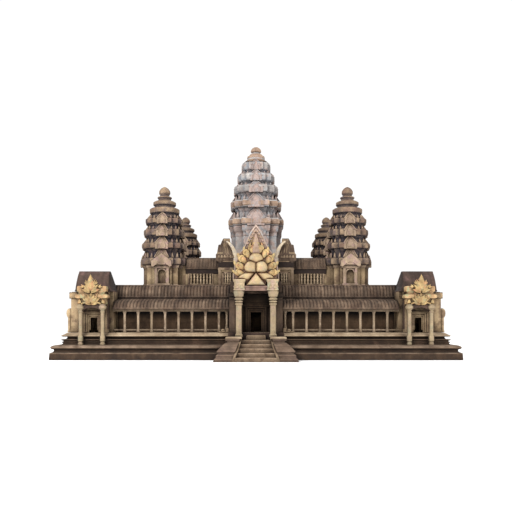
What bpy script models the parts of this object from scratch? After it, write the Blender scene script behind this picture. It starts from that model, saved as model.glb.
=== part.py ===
"""A stone temple with five towers on two moulded terraces.

Lengths are metres, +Z is up, and the ground is Z = 0. The plan is centred on the origin, the front
faces -Y, and front and rear, left and right are alike. The ground storey is a ring of vaulted
galleries round a masonry core, with a pavilion at each corner. The upper storey stands on the core.
"""

import math

import bmesh
import bpy
from mathutils import Matrix, Vector

GAP = 0.0003  # clearance between pieces that touch

# Terraces
TERRACE_HALF_X, TERRACE_HALF_Y = 18.0, 16.55
UPPER_INSET_X, UPPER_INSET_Y = 0.85, 1.0
LOWER_TERRACE_TOP = 1.30
FLOOR = 2.37
LOWER_PROFILE = (  # height, outward offset
    (0.0, 0.0), (0.60, -0.06), (0.66, -0.20), (0.735, -0.31), (0.86, -0.28),
    (0.98, -0.13), (1.06, -0.12), (1.16, -0.18), (1.25, -0.32), (LOWER_TERRACE_TOP, -0.42),
)
UPPER_PROFILE = (
    (LOWER_TERRACE_TOP + GAP, 0.0), (1.44, 0.0), (1.50, -0.08), (1.62, -0.11), (1.80, 0.05),
    (1.88, 0.10), (1.96, 0.06), (2.04, -0.10), (2.06, -0.38), (2.10, -0.40), (2.16, -0.33),
    (2.28, -0.33), (FLOOR, -0.42),
)

# Stair: it narrows as it rises, and its cheeks follow the same slant
STAIR_FOOT_Y = 18.95
STAIR_TOP = 1.75
STAIR_RISERS = 5
STAIR_HALF_FOOT, STAIR_HALF_TOP = 1.84, 1.22
CHEEK_TOP = 2.03
CHEEK_PROFILE = (  # height, outer half width, front reach
    (0.0, 3.56, 18.95), (0.30, 3.44, 18.86), (0.34, 3.34, 18.76), (0.50, 3.34, 18.76),
    (0.56, 3.42, 18.82), (0.74, 3.30, 18.66), (0.92, 3.26, 18.40), (1.70, 2.46, 17.05),
    (1.72, 2.62, 17.12), (1.98, 2.62, 17.12), (CHEEK_TOP, 2.57, 17.07),
)
TERRACE_BACK = TERRACE_HALF_Y - UPPER_INSET_Y + 0.10 + GAP  # just clear of the upper terrace's lip
KERB_WIDTH = 0.20
KERB_OUTLINE = ((18.93, 0.0), (18.93, 0.52), (17.60, 1.30), (16.55, 2.00), (16.0, 2.0), (16.0, 0.0))
LANDING_HALF, LANDING_FRONT, LANDING_TOP = 0.82, 15.95, 2.08

# Core and galleries
CORE_HALF_X, CORE_HALF_Y = 14.20, 12.75
NOTCH_X, NOTCH_Y = 12.85, 11.40
UPPER_CORE_INSET = 0.05
CORE_STEP, CORE_TOP = 5.40, 6.60
PILLAR_LINE = 1.85  # outward from the core's wall
PILLAR_WIDTH = 0.20
ROUND_PILLAR_RADIUS = 0.17
PILLAR_PITCH = 1.21
FRONT_FIRST_PILLAR, FRONT_PILLARS = 3.34, 8
SIDE_HALF_PILLARS = 9
SIDE_PITCH = 1.24
RAIL_LOW, RAIL_HIGH, RAIL_WIDTH = 2.54, 2.66, 0.11
BEAM_LOW, BEAM_HIGH, BEAM_WIDTH = 4.26, 4.45, 0.34
GALLERY_START = 2.40  # half width of the entrance between the front galleries
OUTER_VAULT = ((0.28, 4.58), (2.05, 0.82))  # centre and radii of each arc, from the core's wall
MAIN_VAULT = ((-0.62, 5.66), (0.78, 1.02))
INNER_VAULT = ((0.0, 4.35), (1.62, 0.62))
MAIN_RIDGE = 6.78

# Corner pavilions
PAVILION_X, PAVILION_Y = 14.45, 13.00
PAVILION_HALF = 1.60
WING_HALF, WING_REACH = 1.25, 2.10
PAVILION_EAVE = 6.04
ROOM_HALF, ROOM_TOP = 1.20, 5.30
SMALL_DOOR_HALF, SMALL_DOOR_TOP = 0.31, 3.72
INNER_DOOR = (-0.15, 0.55)  # span of the doors to the galleries, from the pavilion's centre
SIDE_PORCH_BACK, SIDE_PORCH_REACH = 2.0, 2.44
SIDE_PILASTER = (0.75, 1.15, 2.24, 4.30)  # inner and outer edge, reach, top
PAVILION_COLUMN_X, PAVILION_COLUMN_REACH = 0.97, 2.88
PAVILION_PORCH_FRONT = 3.06

# Entrance
PORCH_COLUMN_X, PORCH_COLUMN_Y = 1.50, 16.05
PORCH_SHAFT = 0.265
LINTEL_REACH = (-0.33, 0.34)  # back and front of the lintel, from the columns' axis
PEDIMENT_REACH = (-0.12, 0.26)
LINTEL_LOW, LINTEL_TOP = 6.05, 6.48
PORCH_WALL_FRONT, PORCH_PASSAGE = 15.05, 1.25
DOOR_WALL_FRONT, DOOR_WALL_BACK = 13.45, 13.00
DOOR_HALF, DOOR_TOP = 0.49, 4.20
PORCH_WALL_TOP = 5.90
HALL_HALF, HALL_BACK, HALL_TOP = 1.60, 9.40, 4.90

# Upper storey
TOWER_AXIS = 9.05
TOWER_HALF = 1.85
GALLERY_LINE = 9.05  # centre line of the upper galleries
GALLERY_HALF = 0.85
UPPER_WALL_TOP = 8.40
CORRIDOR_HALF, CORRIDOR_TOP = 0.50, 8.05
GOPURA_LINE, GOPURA_HALF_Y = 9.40, 1.40
GOPURA_ROOM_HALF_X, GOPURA_ROOM_HALF_Y, GOPURA_ROOM_TOP = 3.0, 0.95, 8.40
GOPURA_DOOR_HALF, GOPURA_DOOR_TOP = 0.50, 8.25
WINDOW_LOW, WINDOW_HIGH = 7.00, 7.98
WING_WINDOW, GOPURA_WINDOW = (4.30, 6.50), (2.30, 3.10)  # span along the gallery


def material(name, colour, roughness):
    """A stone with one colour and roughness."""
    stone = bpy.data.materials.new(name)
    stone.use_nodes = True
    shader = stone.node_tree.nodes["Principled BSDF"]
    shader.inputs["Base Color"].default_value = (*colour, 1.0)
    shader.inputs["Roughness"].default_value = roughness
    shader.inputs["Metallic"].default_value = 0.0
    return stone


def clear_scene():
    for old in list(bpy.data.objects):
        bpy.data.objects.remove(old)


def new_collection(name):
    collection = bpy.data.collections.new(name)
    bpy.context.scene.collection.children.link(collection)
    return collection


clear_scene()
TEMPLE = new_collection("temple")
CUTTERS = new_collection("cutters")
TERRACE_STONE = material("terrace_stone", (0.115, 0.075, 0.052), 0.85)
WALL_STONE = material("wall_stone", (0.26, 0.19, 0.13), 0.85)
PILLAR_STONE = material("pillar_stone", (0.42, 0.32, 0.20), 0.80)
ROOF_STONE = material("roof_stone", (0.17, 0.12, 0.09), 0.80)
GOLD_STONE = material("gold_stone", (0.70, 0.52, 0.26), 0.65)
TOWER_STONE = material("tower_stone", (0.40, 0.32, 0.23), 0.85)


def finish(name, mesh, stone):
    """Makes the object of a bmesh whose faces are turned to point outwards."""
    bmesh.ops.recalc_face_normals(mesh, faces=mesh.faces)
    data = bpy.data.meshes.new(name)
    mesh.to_mesh(data)
    mesh.free()
    data.materials.append(stone)
    made = bpy.data.objects.new(name, data)
    TEMPLE.objects.link(made)
    return made


def loft(name, sections, stone, place=Matrix()):
    """A closed solid through sections, which are rings of points in one order."""
    mesh = bmesh.new()
    face = mesh.faces.new([mesh.verts.new(place @ Vector(point)) for point in sections[0]])
    for section in sections[1:]:
        face = bmesh.ops.extrude_discrete_faces(mesh, faces=[face])["faces"][0]
        for corner, point in zip(face.verts, section):
            corner.co = place @ Vector(point)
    bmesh.ops.holes_fill(mesh, edges=[edge for edge in mesh.edges if edge.is_boundary], sides=0)
    return finish(name, mesh, stone)


def boxes(name, corners, stone, place=Matrix()):
    """One mesh of separate boxes, each given by its lowest and highest corner."""
    mesh = bmesh.new()
    for low, high in corners:
        size = [top - bottom for bottom, top in zip(low, high)]
        middle = [(top + bottom) / 2 for bottom, top in zip(low, high)]
        matrix = place @ Matrix.Translation(middle) @ Matrix.Diagonal((*size, 1.0))
        bmesh.ops.create_cube(mesh, size=1.0, matrix=matrix)
    return finish(name, mesh, stone)


def combine(base, operation, others):
    """Joins the others to the base, or cuts them from it, one after another."""
    for other in others:
        other.hide_render = True
        other.display_type = "WIRE"
        TEMPLE.objects.unlink(other)
        CUTTERS.objects.link(other)
        step = base.modifiers.new(operation.lower() + "_" + other.name, "BOOLEAN")
        step.operation = operation
        step.solver = "EXACT"
        step.object = other
    return base


def join(base, *others):
    return combine(base, "UNION", others)


def cut(base, *others):
    return combine(base, "DIFFERENCE", others)


def rectangle(half_x, half_y, z, middle=(0.0, 0.0)):
    x, y = middle
    return [
        (x - half_x, y - half_y, z), (x + half_x, y - half_y, z),
        (x + half_x, y + half_y, z), (x - half_x, y + half_y, z),
    ]


def redented(half, z, middle=(0.0, 0.0), face=0.52, corner=0.84):
    """A square plan whose corners step back: each face is `face` of the half width, each pier `corner`."""
    quadrant = [(1, face), (corner, face), (corner, corner), (face, corner), (face, 1)]
    points = []
    for turn in range(4):
        cosine, sine = ((1, 0), (0, 1), (-1, 0), (0, -1))[turn]
        points += [(cosine * x - sine * y, sine * x + cosine * y) for x, y in quadrant]
    return [(middle[0] + half * x, middle[1] + half * y, z) for x, y in points]


def ring(radius, z, middle=(0.0, 0.0), corners=20):
    """A round section whose points keep the order of the redented plan's."""
    start = math.radians(9)
    turns = [start + math.tau * step / corners for step in range(corners)]
    return [(middle[0] + radius * math.cos(a), middle[1] + radius * math.sin(a), z) for a in turns]


def arc(centre, radii, start, end, steps):
    """Points on an ellipse's arc, from the start angle to the end angle in degrees."""
    angles = [math.radians(start + (end - start) * step / steps) for step in range(steps + 1)]
    return [(centre[0] + radii[0] * math.cos(a), centre[1] + radii[1] * math.sin(a)) for a in angles]


def extrude_x(name, outline, start, end, stone, place=Matrix()):
    """An outline of (y, z) points carried along X."""
    return loft(name, [[(x, y, z) for y, z in outline] for x in (start, end)], stone, place)


def extrude_y(name, outline, start, end, stone, place=Matrix()):
    """An outline of (x, z) points carried along Y."""
    return loft(name, [[(x, y, z) for x, z in outline] for y in (start, end)], stone, place)


def facing(side_x, side_y):
    """Mirrors what is drawn in the quadrant of +X and +Y into another quadrant."""
    return Matrix.Diagonal((side_x, side_y, 1.0, 1.0))


def stair_half(z):
    """Half width of the stair at a height: its sides slant inwards as they rise."""
    return STAIR_HALF_FOOT + (STAIR_HALF_TOP - STAIR_HALF_FOOT) * z / STAIR_TOP


def terraces():
    """Two moulded blocks of masonry; the stair cheeks are bonded to the lower one."""
    lower = loft(
        "lower_terrace",
        [rectangle(TERRACE_HALF_X + out, TERRACE_HALF_Y + out, z) for z, out in LOWER_PROFILE],
        TERRACE_STONE,
    )
    half_x, half_y = TERRACE_HALF_X - UPPER_INSET_X, TERRACE_HALF_Y - UPPER_INSET_Y
    loft(
        "upper_terrace",
        [rectangle(half_x + out, half_y + out, z) for z, out in UPPER_PROFILE],
        TERRACE_STONE,
    )
    cheeks = [
        cheek(f"cheek_{side_x}_{side_y}", facing(side_x, side_y)) for side_y in (-1, 1) for side_x in (-1, 1)
    ]
    join(lower, *cheeks)


def cheek(name, place):
    """A stepped block beside the flight, with a kerb that follows the flight's slope."""
    sections = []
    for z, outer, reach in CHEEK_PROFILE:
        inner = stair_half(z) + GAP + KERB_WIDTH / 2
        sections.append([
            (inner, TERRACE_BACK, z), (outer, TERRACE_BACK, z), (outer, reach, z), (inner, reach, z),
        ])
    block = loft(name, sections, TERRACE_STONE, place)
    kerb = [
        [(stair_half(z) + GAP + side, y, z) for y, z in KERB_OUTLINE] for side in (0.0, KERB_WIDTH)
    ]
    return join(block, loft(name + "_kerb", kerb, TERRACE_STONE, place))


def stair(name, side_y):
    """One flight of solid steps set between the cheeks, with a landing block at its head."""
    rise = STAIR_TOP / STAIR_RISERS
    going = (STAIR_FOOT_Y - TERRACE_BACK) / STAIR_RISERS
    steps = []
    back = TERRACE_HALF_Y + GAP
    for step in range(STAIR_RISERS):
        front = STAIR_FOOT_Y - step * going
        steps.append((step * rise, front, back))
        if step * rise < LOWER_TERRACE_TOP < (step + 1) * rise:
            steps.append((LOWER_TERRACE_TOP + GAP, front, back))
            back = TERRACE_BACK
            steps.append((LOWER_TERRACE_TOP + GAP, front, back))
        steps.append(((step + 1) * rise, front, back))
    sections = []
    for z, front, behind in steps:
        half = stair_half(z)
        sections.append([(-half, behind, z), (half, behind, z), (half, front, z), (-half, front, z)])
    for z in (STAIR_TOP, LANDING_TOP):
        sections.append([
            (-LANDING_HALF, TERRACE_BACK, z), (LANDING_HALF, TERRACE_BACK, z),
            (LANDING_HALF, LANDING_FRONT, z), (-LANDING_HALF, LANDING_FRONT, z),
        ])
    return loft(name, sections, TERRACE_STONE, facing(1, side_y))


def core():
    """The masonry that the galleries lean on, with a dark hall behind each entrance."""
    x, y = CORE_HALF_X, CORE_HALF_Y
    notch_x, notch_y = NOTCH_X - GAP, NOTCH_Y - GAP
    quadrant = [(x, notch_y), (notch_x, notch_y), (notch_x, y)]
    outline = []
    for side_x, side_y in ((1, 1), (-1, 1), (-1, -1), (1, -1)):
        corners = [(side_x * a, side_y * b) for a, b in quadrant]
        outline += corners if side_x == side_y else corners[::-1]
    lower = loft(
        "temple_core", [[(a, b, z) for a, b in outline] for z in (FLOOR + GAP, CORE_STEP)], WALL_STONE
    )
    half_x, half_y = NOTCH_X - UPPER_CORE_INSET, NOTCH_Y - UPPER_CORE_INSET
    upper = loft(
        "upper_core",
        [rectangle(half_x, half_y, z) for z in (CORE_STEP - 0.3, CORE_TOP)],
        WALL_STONE,
    )
    halls = boxes(
        "halls",
        [
            ((-HALL_HALF, -y - 1, FLOOR - 1), (HALL_HALF, -HALL_BACK, HALL_TOP)),
            ((-HALL_HALF, HALL_BACK, FLOOR - 1), (HALL_HALF, y + 1, HALL_TOP)),
        ],
        WALL_STONE,
    )
    return cut(join(lower, upper), halls)


def gallery_profile():
    """The roof's section as (distance outward from the core's wall, height)."""
    step_back = CORE_HALF_Y - NOTCH_Y + UPPER_CORE_INSET - GAP
    outer = arc(*OUTER_VAULT, 0, 84, 7)
    main = arc(*MAIN_VAULT, 0, 84, 6)
    inner = arc(*INNER_VAULT, 90, 12, 5)
    return (
        [(2.33, BEAM_HIGH + GAP)] + outer
        + [(0.30, 5.48), (0.20, 5.50), (0.26, 5.56), (0.26, 5.64)] + main
        + [(-0.56, MAIN_RIDGE), (-0.76, MAIN_RIDGE), (-0.76, 6.68), (-1.10, 6.60)]
        + [(-step_back, 6.40), (-step_back, CORE_STEP + GAP), (GAP, CORE_STEP + GAP)]
        + [(GAP + a, b) for a, b in inner]
        + [(1.62, BEAM_HIGH + GAP)]
    )


def colonnade(name, start, end, positions, round_ends, place, wall):
    """A run of pillars along X with its low rail and beam; `wall` is the core's half depth."""
    line = wall + PILLAR_LINE
    half = PILLAR_WIDTH / 2
    beam = boxes(
        name, [((start, line - BEAM_WIDTH / 2, BEAM_LOW), (end, line + BEAM_WIDTH / 2, BEAM_HIGH))],
        PILLAR_STONE, place,
    )
    pillars = boxes(
        name + "_pillars",
        [((x - half, line - half, FLOOR + GAP), (x + half, line + half, BEAM_LOW + 0.05)) for x in positions],
        PILLAR_STONE, place,
    )
    rail = boxes(
        name + "_rail",
        [((start, line - RAIL_WIDTH / 2, RAIL_LOW), (end, line + RAIL_WIDTH / 2, RAIL_HIGH))],
        PILLAR_STONE, place,
    )
    turned = [
        loft(
            f"{name}_turned_{number}",
            [[(x + ROUND_PILLAR_RADIUS * math.cos(math.radians(22.5 + 45 * turn)),
               line + ROUND_PILLAR_RADIUS * math.sin(math.radians(22.5 + 45 * turn)), z)
              for turn in range(8)] for z in (FLOOR + GAP, BEAM_LOW + 0.05)],
            PILLAR_STONE, place,
        )
        for number, x in enumerate(round_ends)
    ]
    return join(beam, pillars, *turned, rail)


def galleries():
    """Six runs of vaulted gallery: two at the front, two at the rear and one on each side.

    The long side colonnades are made in two halves that meet in the middle.
    """
    front_end = NOTCH_X - UPPER_CORE_INSET - GAP
    column_end = NOTCH_X - GAP
    front_pillars = [FRONT_FIRST_PILLAR + PILLAR_PITCH * n for n in range(FRONT_PILLARS)]
    for label, side_y in (("front", -1), ("rear", 1)):
        for hand, side_x in (("left", -1), ("right", 1)):
            place = facing(side_x, side_y)
            outline = [(CORE_HALF_Y + out, z) for out, z in gallery_profile()]
            extrude_x(f"{label}_{hand}_gallery_roof", outline, GALLERY_START, front_end, ROOF_STONE, place)
            colonnade(
                f"{label}_{hand}_colonnade", GALLERY_START, column_end, front_pillars,
                [GALLERY_START + 0.20], place, CORE_HALF_Y,
            )
    side_end = NOTCH_Y - GAP
    side_pillars = [SIDE_PITCH * (n + 0.5) for n in range(SIDE_HALF_PILLARS)]
    for hand, turn in (("left", 90), ("right", -90)):
        place = Matrix.Rotation(math.radians(turn), 4, "Z")
        outline = [(CORE_HALF_X + out, z) for out, z in gallery_profile()]
        extrude_x(f"{hand}_gallery_roof", outline, -side_end, side_end, ROOF_STONE, place)
        for side_x in (-1, 1):
            label = "front" if (side_x > 0) == (hand == "right") else "rear"
            colonnade(
                f"{hand}_{label}_colonnade", GAP / 2, side_end, side_pillars, [],
                place @ facing(side_x, 1), CORE_HALF_X,
            )


PAVILION_PROFILE = (  # height, outward offset
    (FLOOR + GAP, 0.02), (2.62, 0.02), (2.66, -0.03), (5.50, -0.03), (5.56, 0.05), (PAVILION_EAVE, 0.05),
)
PAVILION_ROOF = (  # height, then lowest and highest u, lowest and highest v
    (PAVILION_EAVE + GAP, -1.60, 1.72, -1.60, 2.08), (6.18, -1.60, 1.72, -1.45, 2.04),
    (6.50, -1.50, 1.70, -1.05, 1.94), (6.90, -1.34, 1.69, -0.62, 1.76), (7.30, -1.24, 1.69, -0.28, 1.48),
    (7.62, -1.16, 1.70, 0.0, 1.18), (7.84, -1.10, 1.71, 0.24, 0.88), (7.94, -1.08, 1.72, 0.40, 0.72),
)
SMALL_COLUMN = (  # height, half width
    (LOWER_TERRACE_TOP + GAP, 0.205), (1.66, 0.205), (1.72, 0.165), (1.90, 0.185), (1.96, 0.155),
    (4.38, 0.155), (4.44, 0.20), (4.52, 0.17), (4.62, 0.25), (4.86, 0.30),
)
SMALL_LINTEL = ((4.80, 1.22), (5.02, 1.22), (5.06, 1.10), (5.42, 1.10), (5.47, 1.42), (5.96, 1.42))
SMALL_ATTIC = ((5.90, 1.05), (6.07, 1.05), (6.10, 1.32), (6.57, 1.26))
SMALL_FLAME = (  # half outline of the pavilion's pediment
    (1.02, 4.88), (1.12, 5.02), (0.84, 5.30), (0.80, 5.90), (0.66, 6.06), (0.76, 6.30), (0.68, 6.70),
    (0.52, 6.98), (0.36, 7.22), (0.12, 7.42), (0.0, 7.60),
)


def mirrored(half):
    """A whole outline from its right half, given upwards and ending on the centre line."""
    return list(half) + [(-x, z) for x, z in reversed(half[:-1])]


def pavilion_outline(out):
    """A square with a wing to the front and one to the outer side; two sides stay flat on the galleries."""
    half, wing, reach = PAVILION_HALF, WING_HALF + out, WING_REACH + out
    edge = half + out
    return [
        (-half + GAP, -half + GAP), (edge, -half + GAP), (edge, -wing), (reach, -wing), (reach, wing),
        (edge, wing), (edge, edge), (wing, edge), (wing, reach), (-wing, reach), (-wing, edge),
        (-half + GAP, edge),
    ]


def pavilions():
    """The four corner pavilions, each with walls, a bowed roof and a porch with a flame pediment."""
    for label, side_y in (("front", -1), ("rear", 1)):
        for hand, side_x in (("left", -1), ("right", 1)):
            name = f"{label}_{hand}_pavilion"
            place = facing(side_x, side_y) @ Matrix.Translation((PAVILION_X, PAVILION_Y, 0.0))
            pavilion_walls(name, place)
            loft(
                name + "_roof",
                [[(a, c, z), (b, c, z), (b, d, z), (a, d, z)] for z, a, b, c, d in PAVILION_ROOF],
                ROOF_STONE, place,
            )
            pavilion_porch(name + "_porch", place)


def pavilion_walls(name, place):
    walls = loft(
        name, [[(u, v, z) for u, v in pavilion_outline(out)] for z, out in PAVILION_PROFILE],
        WALL_STONE, place,
    )
    inner, outer, reach, top = SIDE_PILASTER
    side_porch = boxes(
        name + "_side_porch",
        [
            ((SIDE_PORCH_BACK, -1.32, 5.43), (SIDE_PORCH_REACH, 1.32, 6.0)),
            ((SIDE_PORCH_BACK, -outer, FLOOR + GAP), (reach, -inner, top)),
            ((SIDE_PORCH_BACK, inner, FLOOR + GAP), (reach, outer, top)),
        ],
        PILLAR_STONE, place,
    )
    low = FLOOR - 1
    room = boxes(
        name + "_room", [((-ROOM_HALF, -ROOM_HALF, low), (ROOM_HALF, ROOM_HALF, ROOM_TOP))], WALL_STONE, place
    )
    inside, outside, door = ROOM_HALF - 0.2, WING_REACH + 0.6, SMALL_DOOR_HALF
    doors = boxes(
        name + "_doors",
        [
            ((-door, inside, low), (door, outside, SMALL_DOOR_TOP)),
            ((inside, -door, low), (outside, door, SMALL_DOOR_TOP)),
            ((-outside, INNER_DOOR[0], low), (-inside, INNER_DOOR[1], DOOR_TOP)),
            ((INNER_DOOR[0], -outside, low), (INNER_DOOR[1], -inside, DOOR_TOP)),
        ],
        WALL_STONE, place,
    )
    return cut(join(walls, side_porch), room, doors)


def pavilion_porch(name, place):
    """Two columns from the lower terrace carry a lintel, an attic and the flame pediment."""
    back, front = WING_REACH + 0.05 + GAP, PAVILION_PORCH_FRONT
    lintel = loft(
        name, [[(-u, back, z), (u, back, z), (u, front, z), (-u, front, z)] for z, u in SMALL_LINTEL],
        GOLD_STONE, place,
    )
    attic = loft(
        name + "_attic",
        [[(-u, back, z), (u, back, z), (u, front - 0.12, z), (-u, front - 0.12, z)] for z, u in SMALL_ATTIC],
        GOLD_STONE, place,
    )
    flame = extrude_y(name + "_flame", mirrored(SMALL_FLAME), front - 0.22, front + 0.14, GOLD_STONE, place)
    columns = [
        loft(
            f"{name}_column_{side}",
            [
                rectangle(half, half, z, (side * PAVILION_COLUMN_X, PAVILION_COLUMN_REACH))
                for z, half in SMALL_COLUMN
            ],
            PILLAR_STONE, place,
        )
        for side in (-1, 1)
    ]
    return join(lintel, attic, flame, *columns)


PORCH_COLUMN = (  # height, half width
    (CHEEK_TOP + GAP, 0.31), (2.14, 0.31), (2.22, PORCH_SHAFT), (4.85, PORCH_SHAFT), (4.90, 0.30),
    (5.02, 0.30), (5.06, 0.265), (5.16, 0.265), (5.22, 0.31), (5.34, 0.31), (5.38, 0.28), (5.56, 0.31),
    (5.72, 0.40), (LINTEL_LOW + 0.02, 0.48),
)
SHOULDER_INNER, SHOULDER_OUTER, SHOULDER_TOP = 0.90, 1.96, 7.04  # blocks over the capitals
LOTUS = (  # half outline of the entrance's pediment
    (SHOULDER_INNER - GAP, LINTEL_TOP + GAP), (SHOULDER_INNER - GAP, SHOULDER_TOP + GAP),
    (1.92, SHOULDER_TOP + GAP), (1.90, 7.45), (2.02, 8.05), (1.96, 8.40), (1.76, 8.65), (1.72, 9.10),
    (1.50, 9.50), (1.02, 9.80), (0.76, 10.10), (0.52, 10.55), (0.28, 11.0), (0.0, 11.36),
)
GABLE = (  # half outline of the slimmer pediment behind it
    (2.15, 6.9), (2.10, 7.9), (1.90, 9.0), (1.58, 9.57), (1.20, 10.13), (0.86, 10.87), (0.62, 11.50),
    (0.30, 11.97), (0.0, 12.33),
)
GABLE_BACK, GABLE_FRONT = 13.10, 13.42
PORCH_VAULT = (  # half section of the porch's roof
    (1.95, 6.85), (1.95, 7.02), (1.82, 7.08), (1.80, 7.60), (1.62, 8.20), (1.30, 8.75), (0.90, 9.20),
    (0.45, 9.50), (0.14, 9.60), (0.14, 9.72), (0.0, 9.72),
)
PORCH_ROOF_BACK = 10.80


def entrances():
    for label, side_y in (("front", -1), ("rear", 1)):
        place = facing(1, side_y)
        stair(label + "_stair", side_y)
        entrance_columns(label + "_porch_columns", place)
        extrude_y(
            label + "_pediment", mirrored(LOTUS), *(PORCH_COLUMN_Y + reach for reach in PEDIMENT_REACH),
            GOLD_STONE, place,
        )
        entrance_walls(label + "_porch", place)
        entrance_roof(label + "_porch_roof", place)


def entrance_columns(name, place):
    """Two tall columns on the stair cheeks, the lintel across them and a block over each capital."""
    back, front = (PORCH_COLUMN_Y + reach for reach in LINTEL_REACH)
    outline = [
        (SHOULDER_OUTER, LINTEL_LOW), (SHOULDER_OUTER, SHOULDER_TOP), (SHOULDER_INNER, SHOULDER_TOP),
        (SHOULDER_INNER, LINTEL_TOP),
    ]
    outline += [(-x, z) for x, z in reversed(outline)]
    lintel = extrude_y(name, outline, back, front, PILLAR_STONE, place)
    columns = [
        loft(
            f"{name}_{side}",
            [rectangle(half, half, z, (side * PORCH_COLUMN_X, PORCH_COLUMN_Y)) for z, half in PORCH_COLUMN],
            PILLAR_STONE, place,
        )
        for side in (-1, 1)
    ]
    return join(lintel, *columns)


def entrance_walls(name, place):
    """Two side walls and the wall with the doorway between them, as one H in plan."""
    outer, inner = GALLERY_START - GAP, PORCH_PASSAGE
    back, front = CORE_HALF_Y + GAP, PORCH_WALL_FRONT
    outline = [
        (-outer, back), (-inner, back), (-inner, DOOR_WALL_BACK), (inner, DOOR_WALL_BACK), (inner, back),
        (outer, back), (outer, front), (inner, front), (inner, DOOR_WALL_FRONT), (-inner, DOOR_WALL_FRONT),
        (-inner, front), (-outer, front),
    ]
    walls = loft(name, [[(x, y, z) for x, y in outline] for z in (FLOOR + GAP, PORCH_WALL_TOP)],
                 WALL_STONE, place)
    doorway = boxes(
        name + "_doorway",
        [((-DOOR_HALF, DOOR_WALL_BACK - 0.1, FLOOR - 1), (DOOR_HALF, DOOR_WALL_FRONT + 0.1, DOOR_TOP))],
        WALL_STONE, place,
    )
    return cut(walls, doorway)


def entrance_roof(name, place):
    """The vault from the lintel back to the upper storey, on the porch walls and the core."""
    front = PORCH_COLUMN_Y + LINTEL_REACH[0] - GAP
    vault = extrude_y(name, mirrored(PORCH_VAULT), PORCH_ROOF_BACK + GAP, front, ROOF_STONE, place)
    step = NOTCH_Y - UPPER_CORE_INSET + GAP
    blocks = [
        ((-2.30, 12.0, PORCH_WALL_TOP + GAP), (2.30, PORCH_WALL_FRONT - 0.02, 6.95)),
        ((-1.90, 14.80, LINTEL_LOW + 0.05), (1.90, front - 0.01, 6.98)),
        ((-2.36, step, CORE_STEP + GAP), (2.36, CORE_HALF_Y - 0.01, 6.30)),
        ((-2.20, PORCH_ROOF_BACK + 0.02, CORE_TOP + GAP), (2.20, 12.40, 7.20)),
    ]
    solids = [boxes(f"{name}_block_{n}", [block], ROOF_STONE, place) for n, block in enumerate(blocks)]
    gable = extrude_y(name + "_gable", mirrored(GABLE), GABLE_BACK, GABLE_FRONT, GOLD_STONE, place)
    return join(vault, *solids, gable)


LINK_REACH = 2.17  # the tower's vestibules reach this far from its axis to meet the galleries
GOPURA_PROFILE = (  # height, half length, half depth
    (CORE_TOP + GAP, 3.60, 1.40), (9.08, 3.60, 1.40), (9.16, 3.78, 1.38), (9.30, 3.87, 1.38),
    (9.80, 3.87, 1.36), (9.92, 3.76, 1.28), (10.36, 3.70, 1.10), (10.76, 3.64, 0.90), (10.82, 3.44, 0.86),
    (11.20, 3.30, 0.52), (11.40, 3.22, 0.22), (11.44, 3.20, 0.14),
)
GATE_NOTCH = (  # half outline of the gap between the front gate's two roofs, round the porch's vault
    (0.0, 9.72), (0.14, 9.72), (0.45, 9.50), (0.90, 9.20), (1.0, 9.12), (1.82, 9.12), (1.86, 9.50),
    (1.95, 10.0), (2.20, 10.60), (2.52, 11.05), (2.60, 12.0), (0.0, 12.0),
)
VERGE = (  # outline of the curved edge beside that gap
    (1.66, 8.60), (2.16, 8.60), (2.18, 9.50), (2.26, 10.0), (2.50, 10.55), (2.86, 11.0), (2.86, 11.12),
    (2.52, 11.10), (2.16, 10.60), (1.90, 10.02), (1.78, 9.50), (1.66, 9.10),
)
GOPURA_GABLE = (  # half outline
    (1.90, 8.90), (2.02, 9.60), (1.76, 10.50), (1.24, 11.20), (0.60, 11.72), (0.0, 12.10),
)
TOWER_PROFILE = (  # height, half width
    (CORE_TOP + GAP, TOWER_HALF), (6.78, TOWER_HALF), (6.84, 1.76), (8.52, 1.76), (8.58, TOWER_HALF),
    (8.80, TOWER_HALF),
)
CELLA_HALF, CELLA_TOP = 1.10, 8.20
NICHE_HALF, NICHE_TOP = 0.37, 8.38
TIER_FOOT, TIER_SHOULDER = 0.90, 0.80  # share of a tier's half width at its foot and above it
TOWER_TIERS = (  # lowest and highest level, half width
    (8.80, 9.48, 2.13), (10.36, 10.96, 2.05), (11.62, 12.29, 1.88), (12.85, 13.38, 1.72),
)
TOWER_CROWN = (  # height, radius
    (13.80, 1.18), (13.94, 1.45), (14.44, 1.43), (14.62, 0.95), (14.80, 1.11), (15.16, 1.08),
    (15.31, 0.62), (15.60, 0.70), (15.74, 0.44), (16.02, 0.55), (16.42, 0.42), (16.66, 0.10),
)
CENTRAL_PROFILE = (
    (CORE_TOP + GAP, 4.30), (7.10, 4.30), (7.16, 4.05), (7.62, 4.05), (7.68, 3.60), (8.26, 3.60),
    (8.32, 3.18), (8.90, 3.18), (8.96, 2.67), (13.10, 2.67), (13.30, 2.88), (13.84, 2.88),
)
CENTRAL_CELLA_HALF, CENTRAL_CELLA_TOP = 1.40, 12.0
CENTRAL_FLOOR, CENTRAL_DOOR_HALF, CENTRAL_DOOR_TOP = 8.93, 0.55, 11.0
CENTRAL_TIERS = (
    (13.84, 14.74, 3.0), (15.88, 16.75, 2.76), (17.59, 18.45, 2.41), (18.96, 19.81, 2.0),
    (20.27, 21.16, 1.53),
)
CENTRAL_CROWN = (
    (21.24, 0.80), (21.38, 0.99), (21.86, 0.97), (22.06, 0.58), (22.24, 0.60), (22.36, 0.44),
    (22.60, 0.56), (22.92, 0.46), (23.16, 0.10),
)


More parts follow.
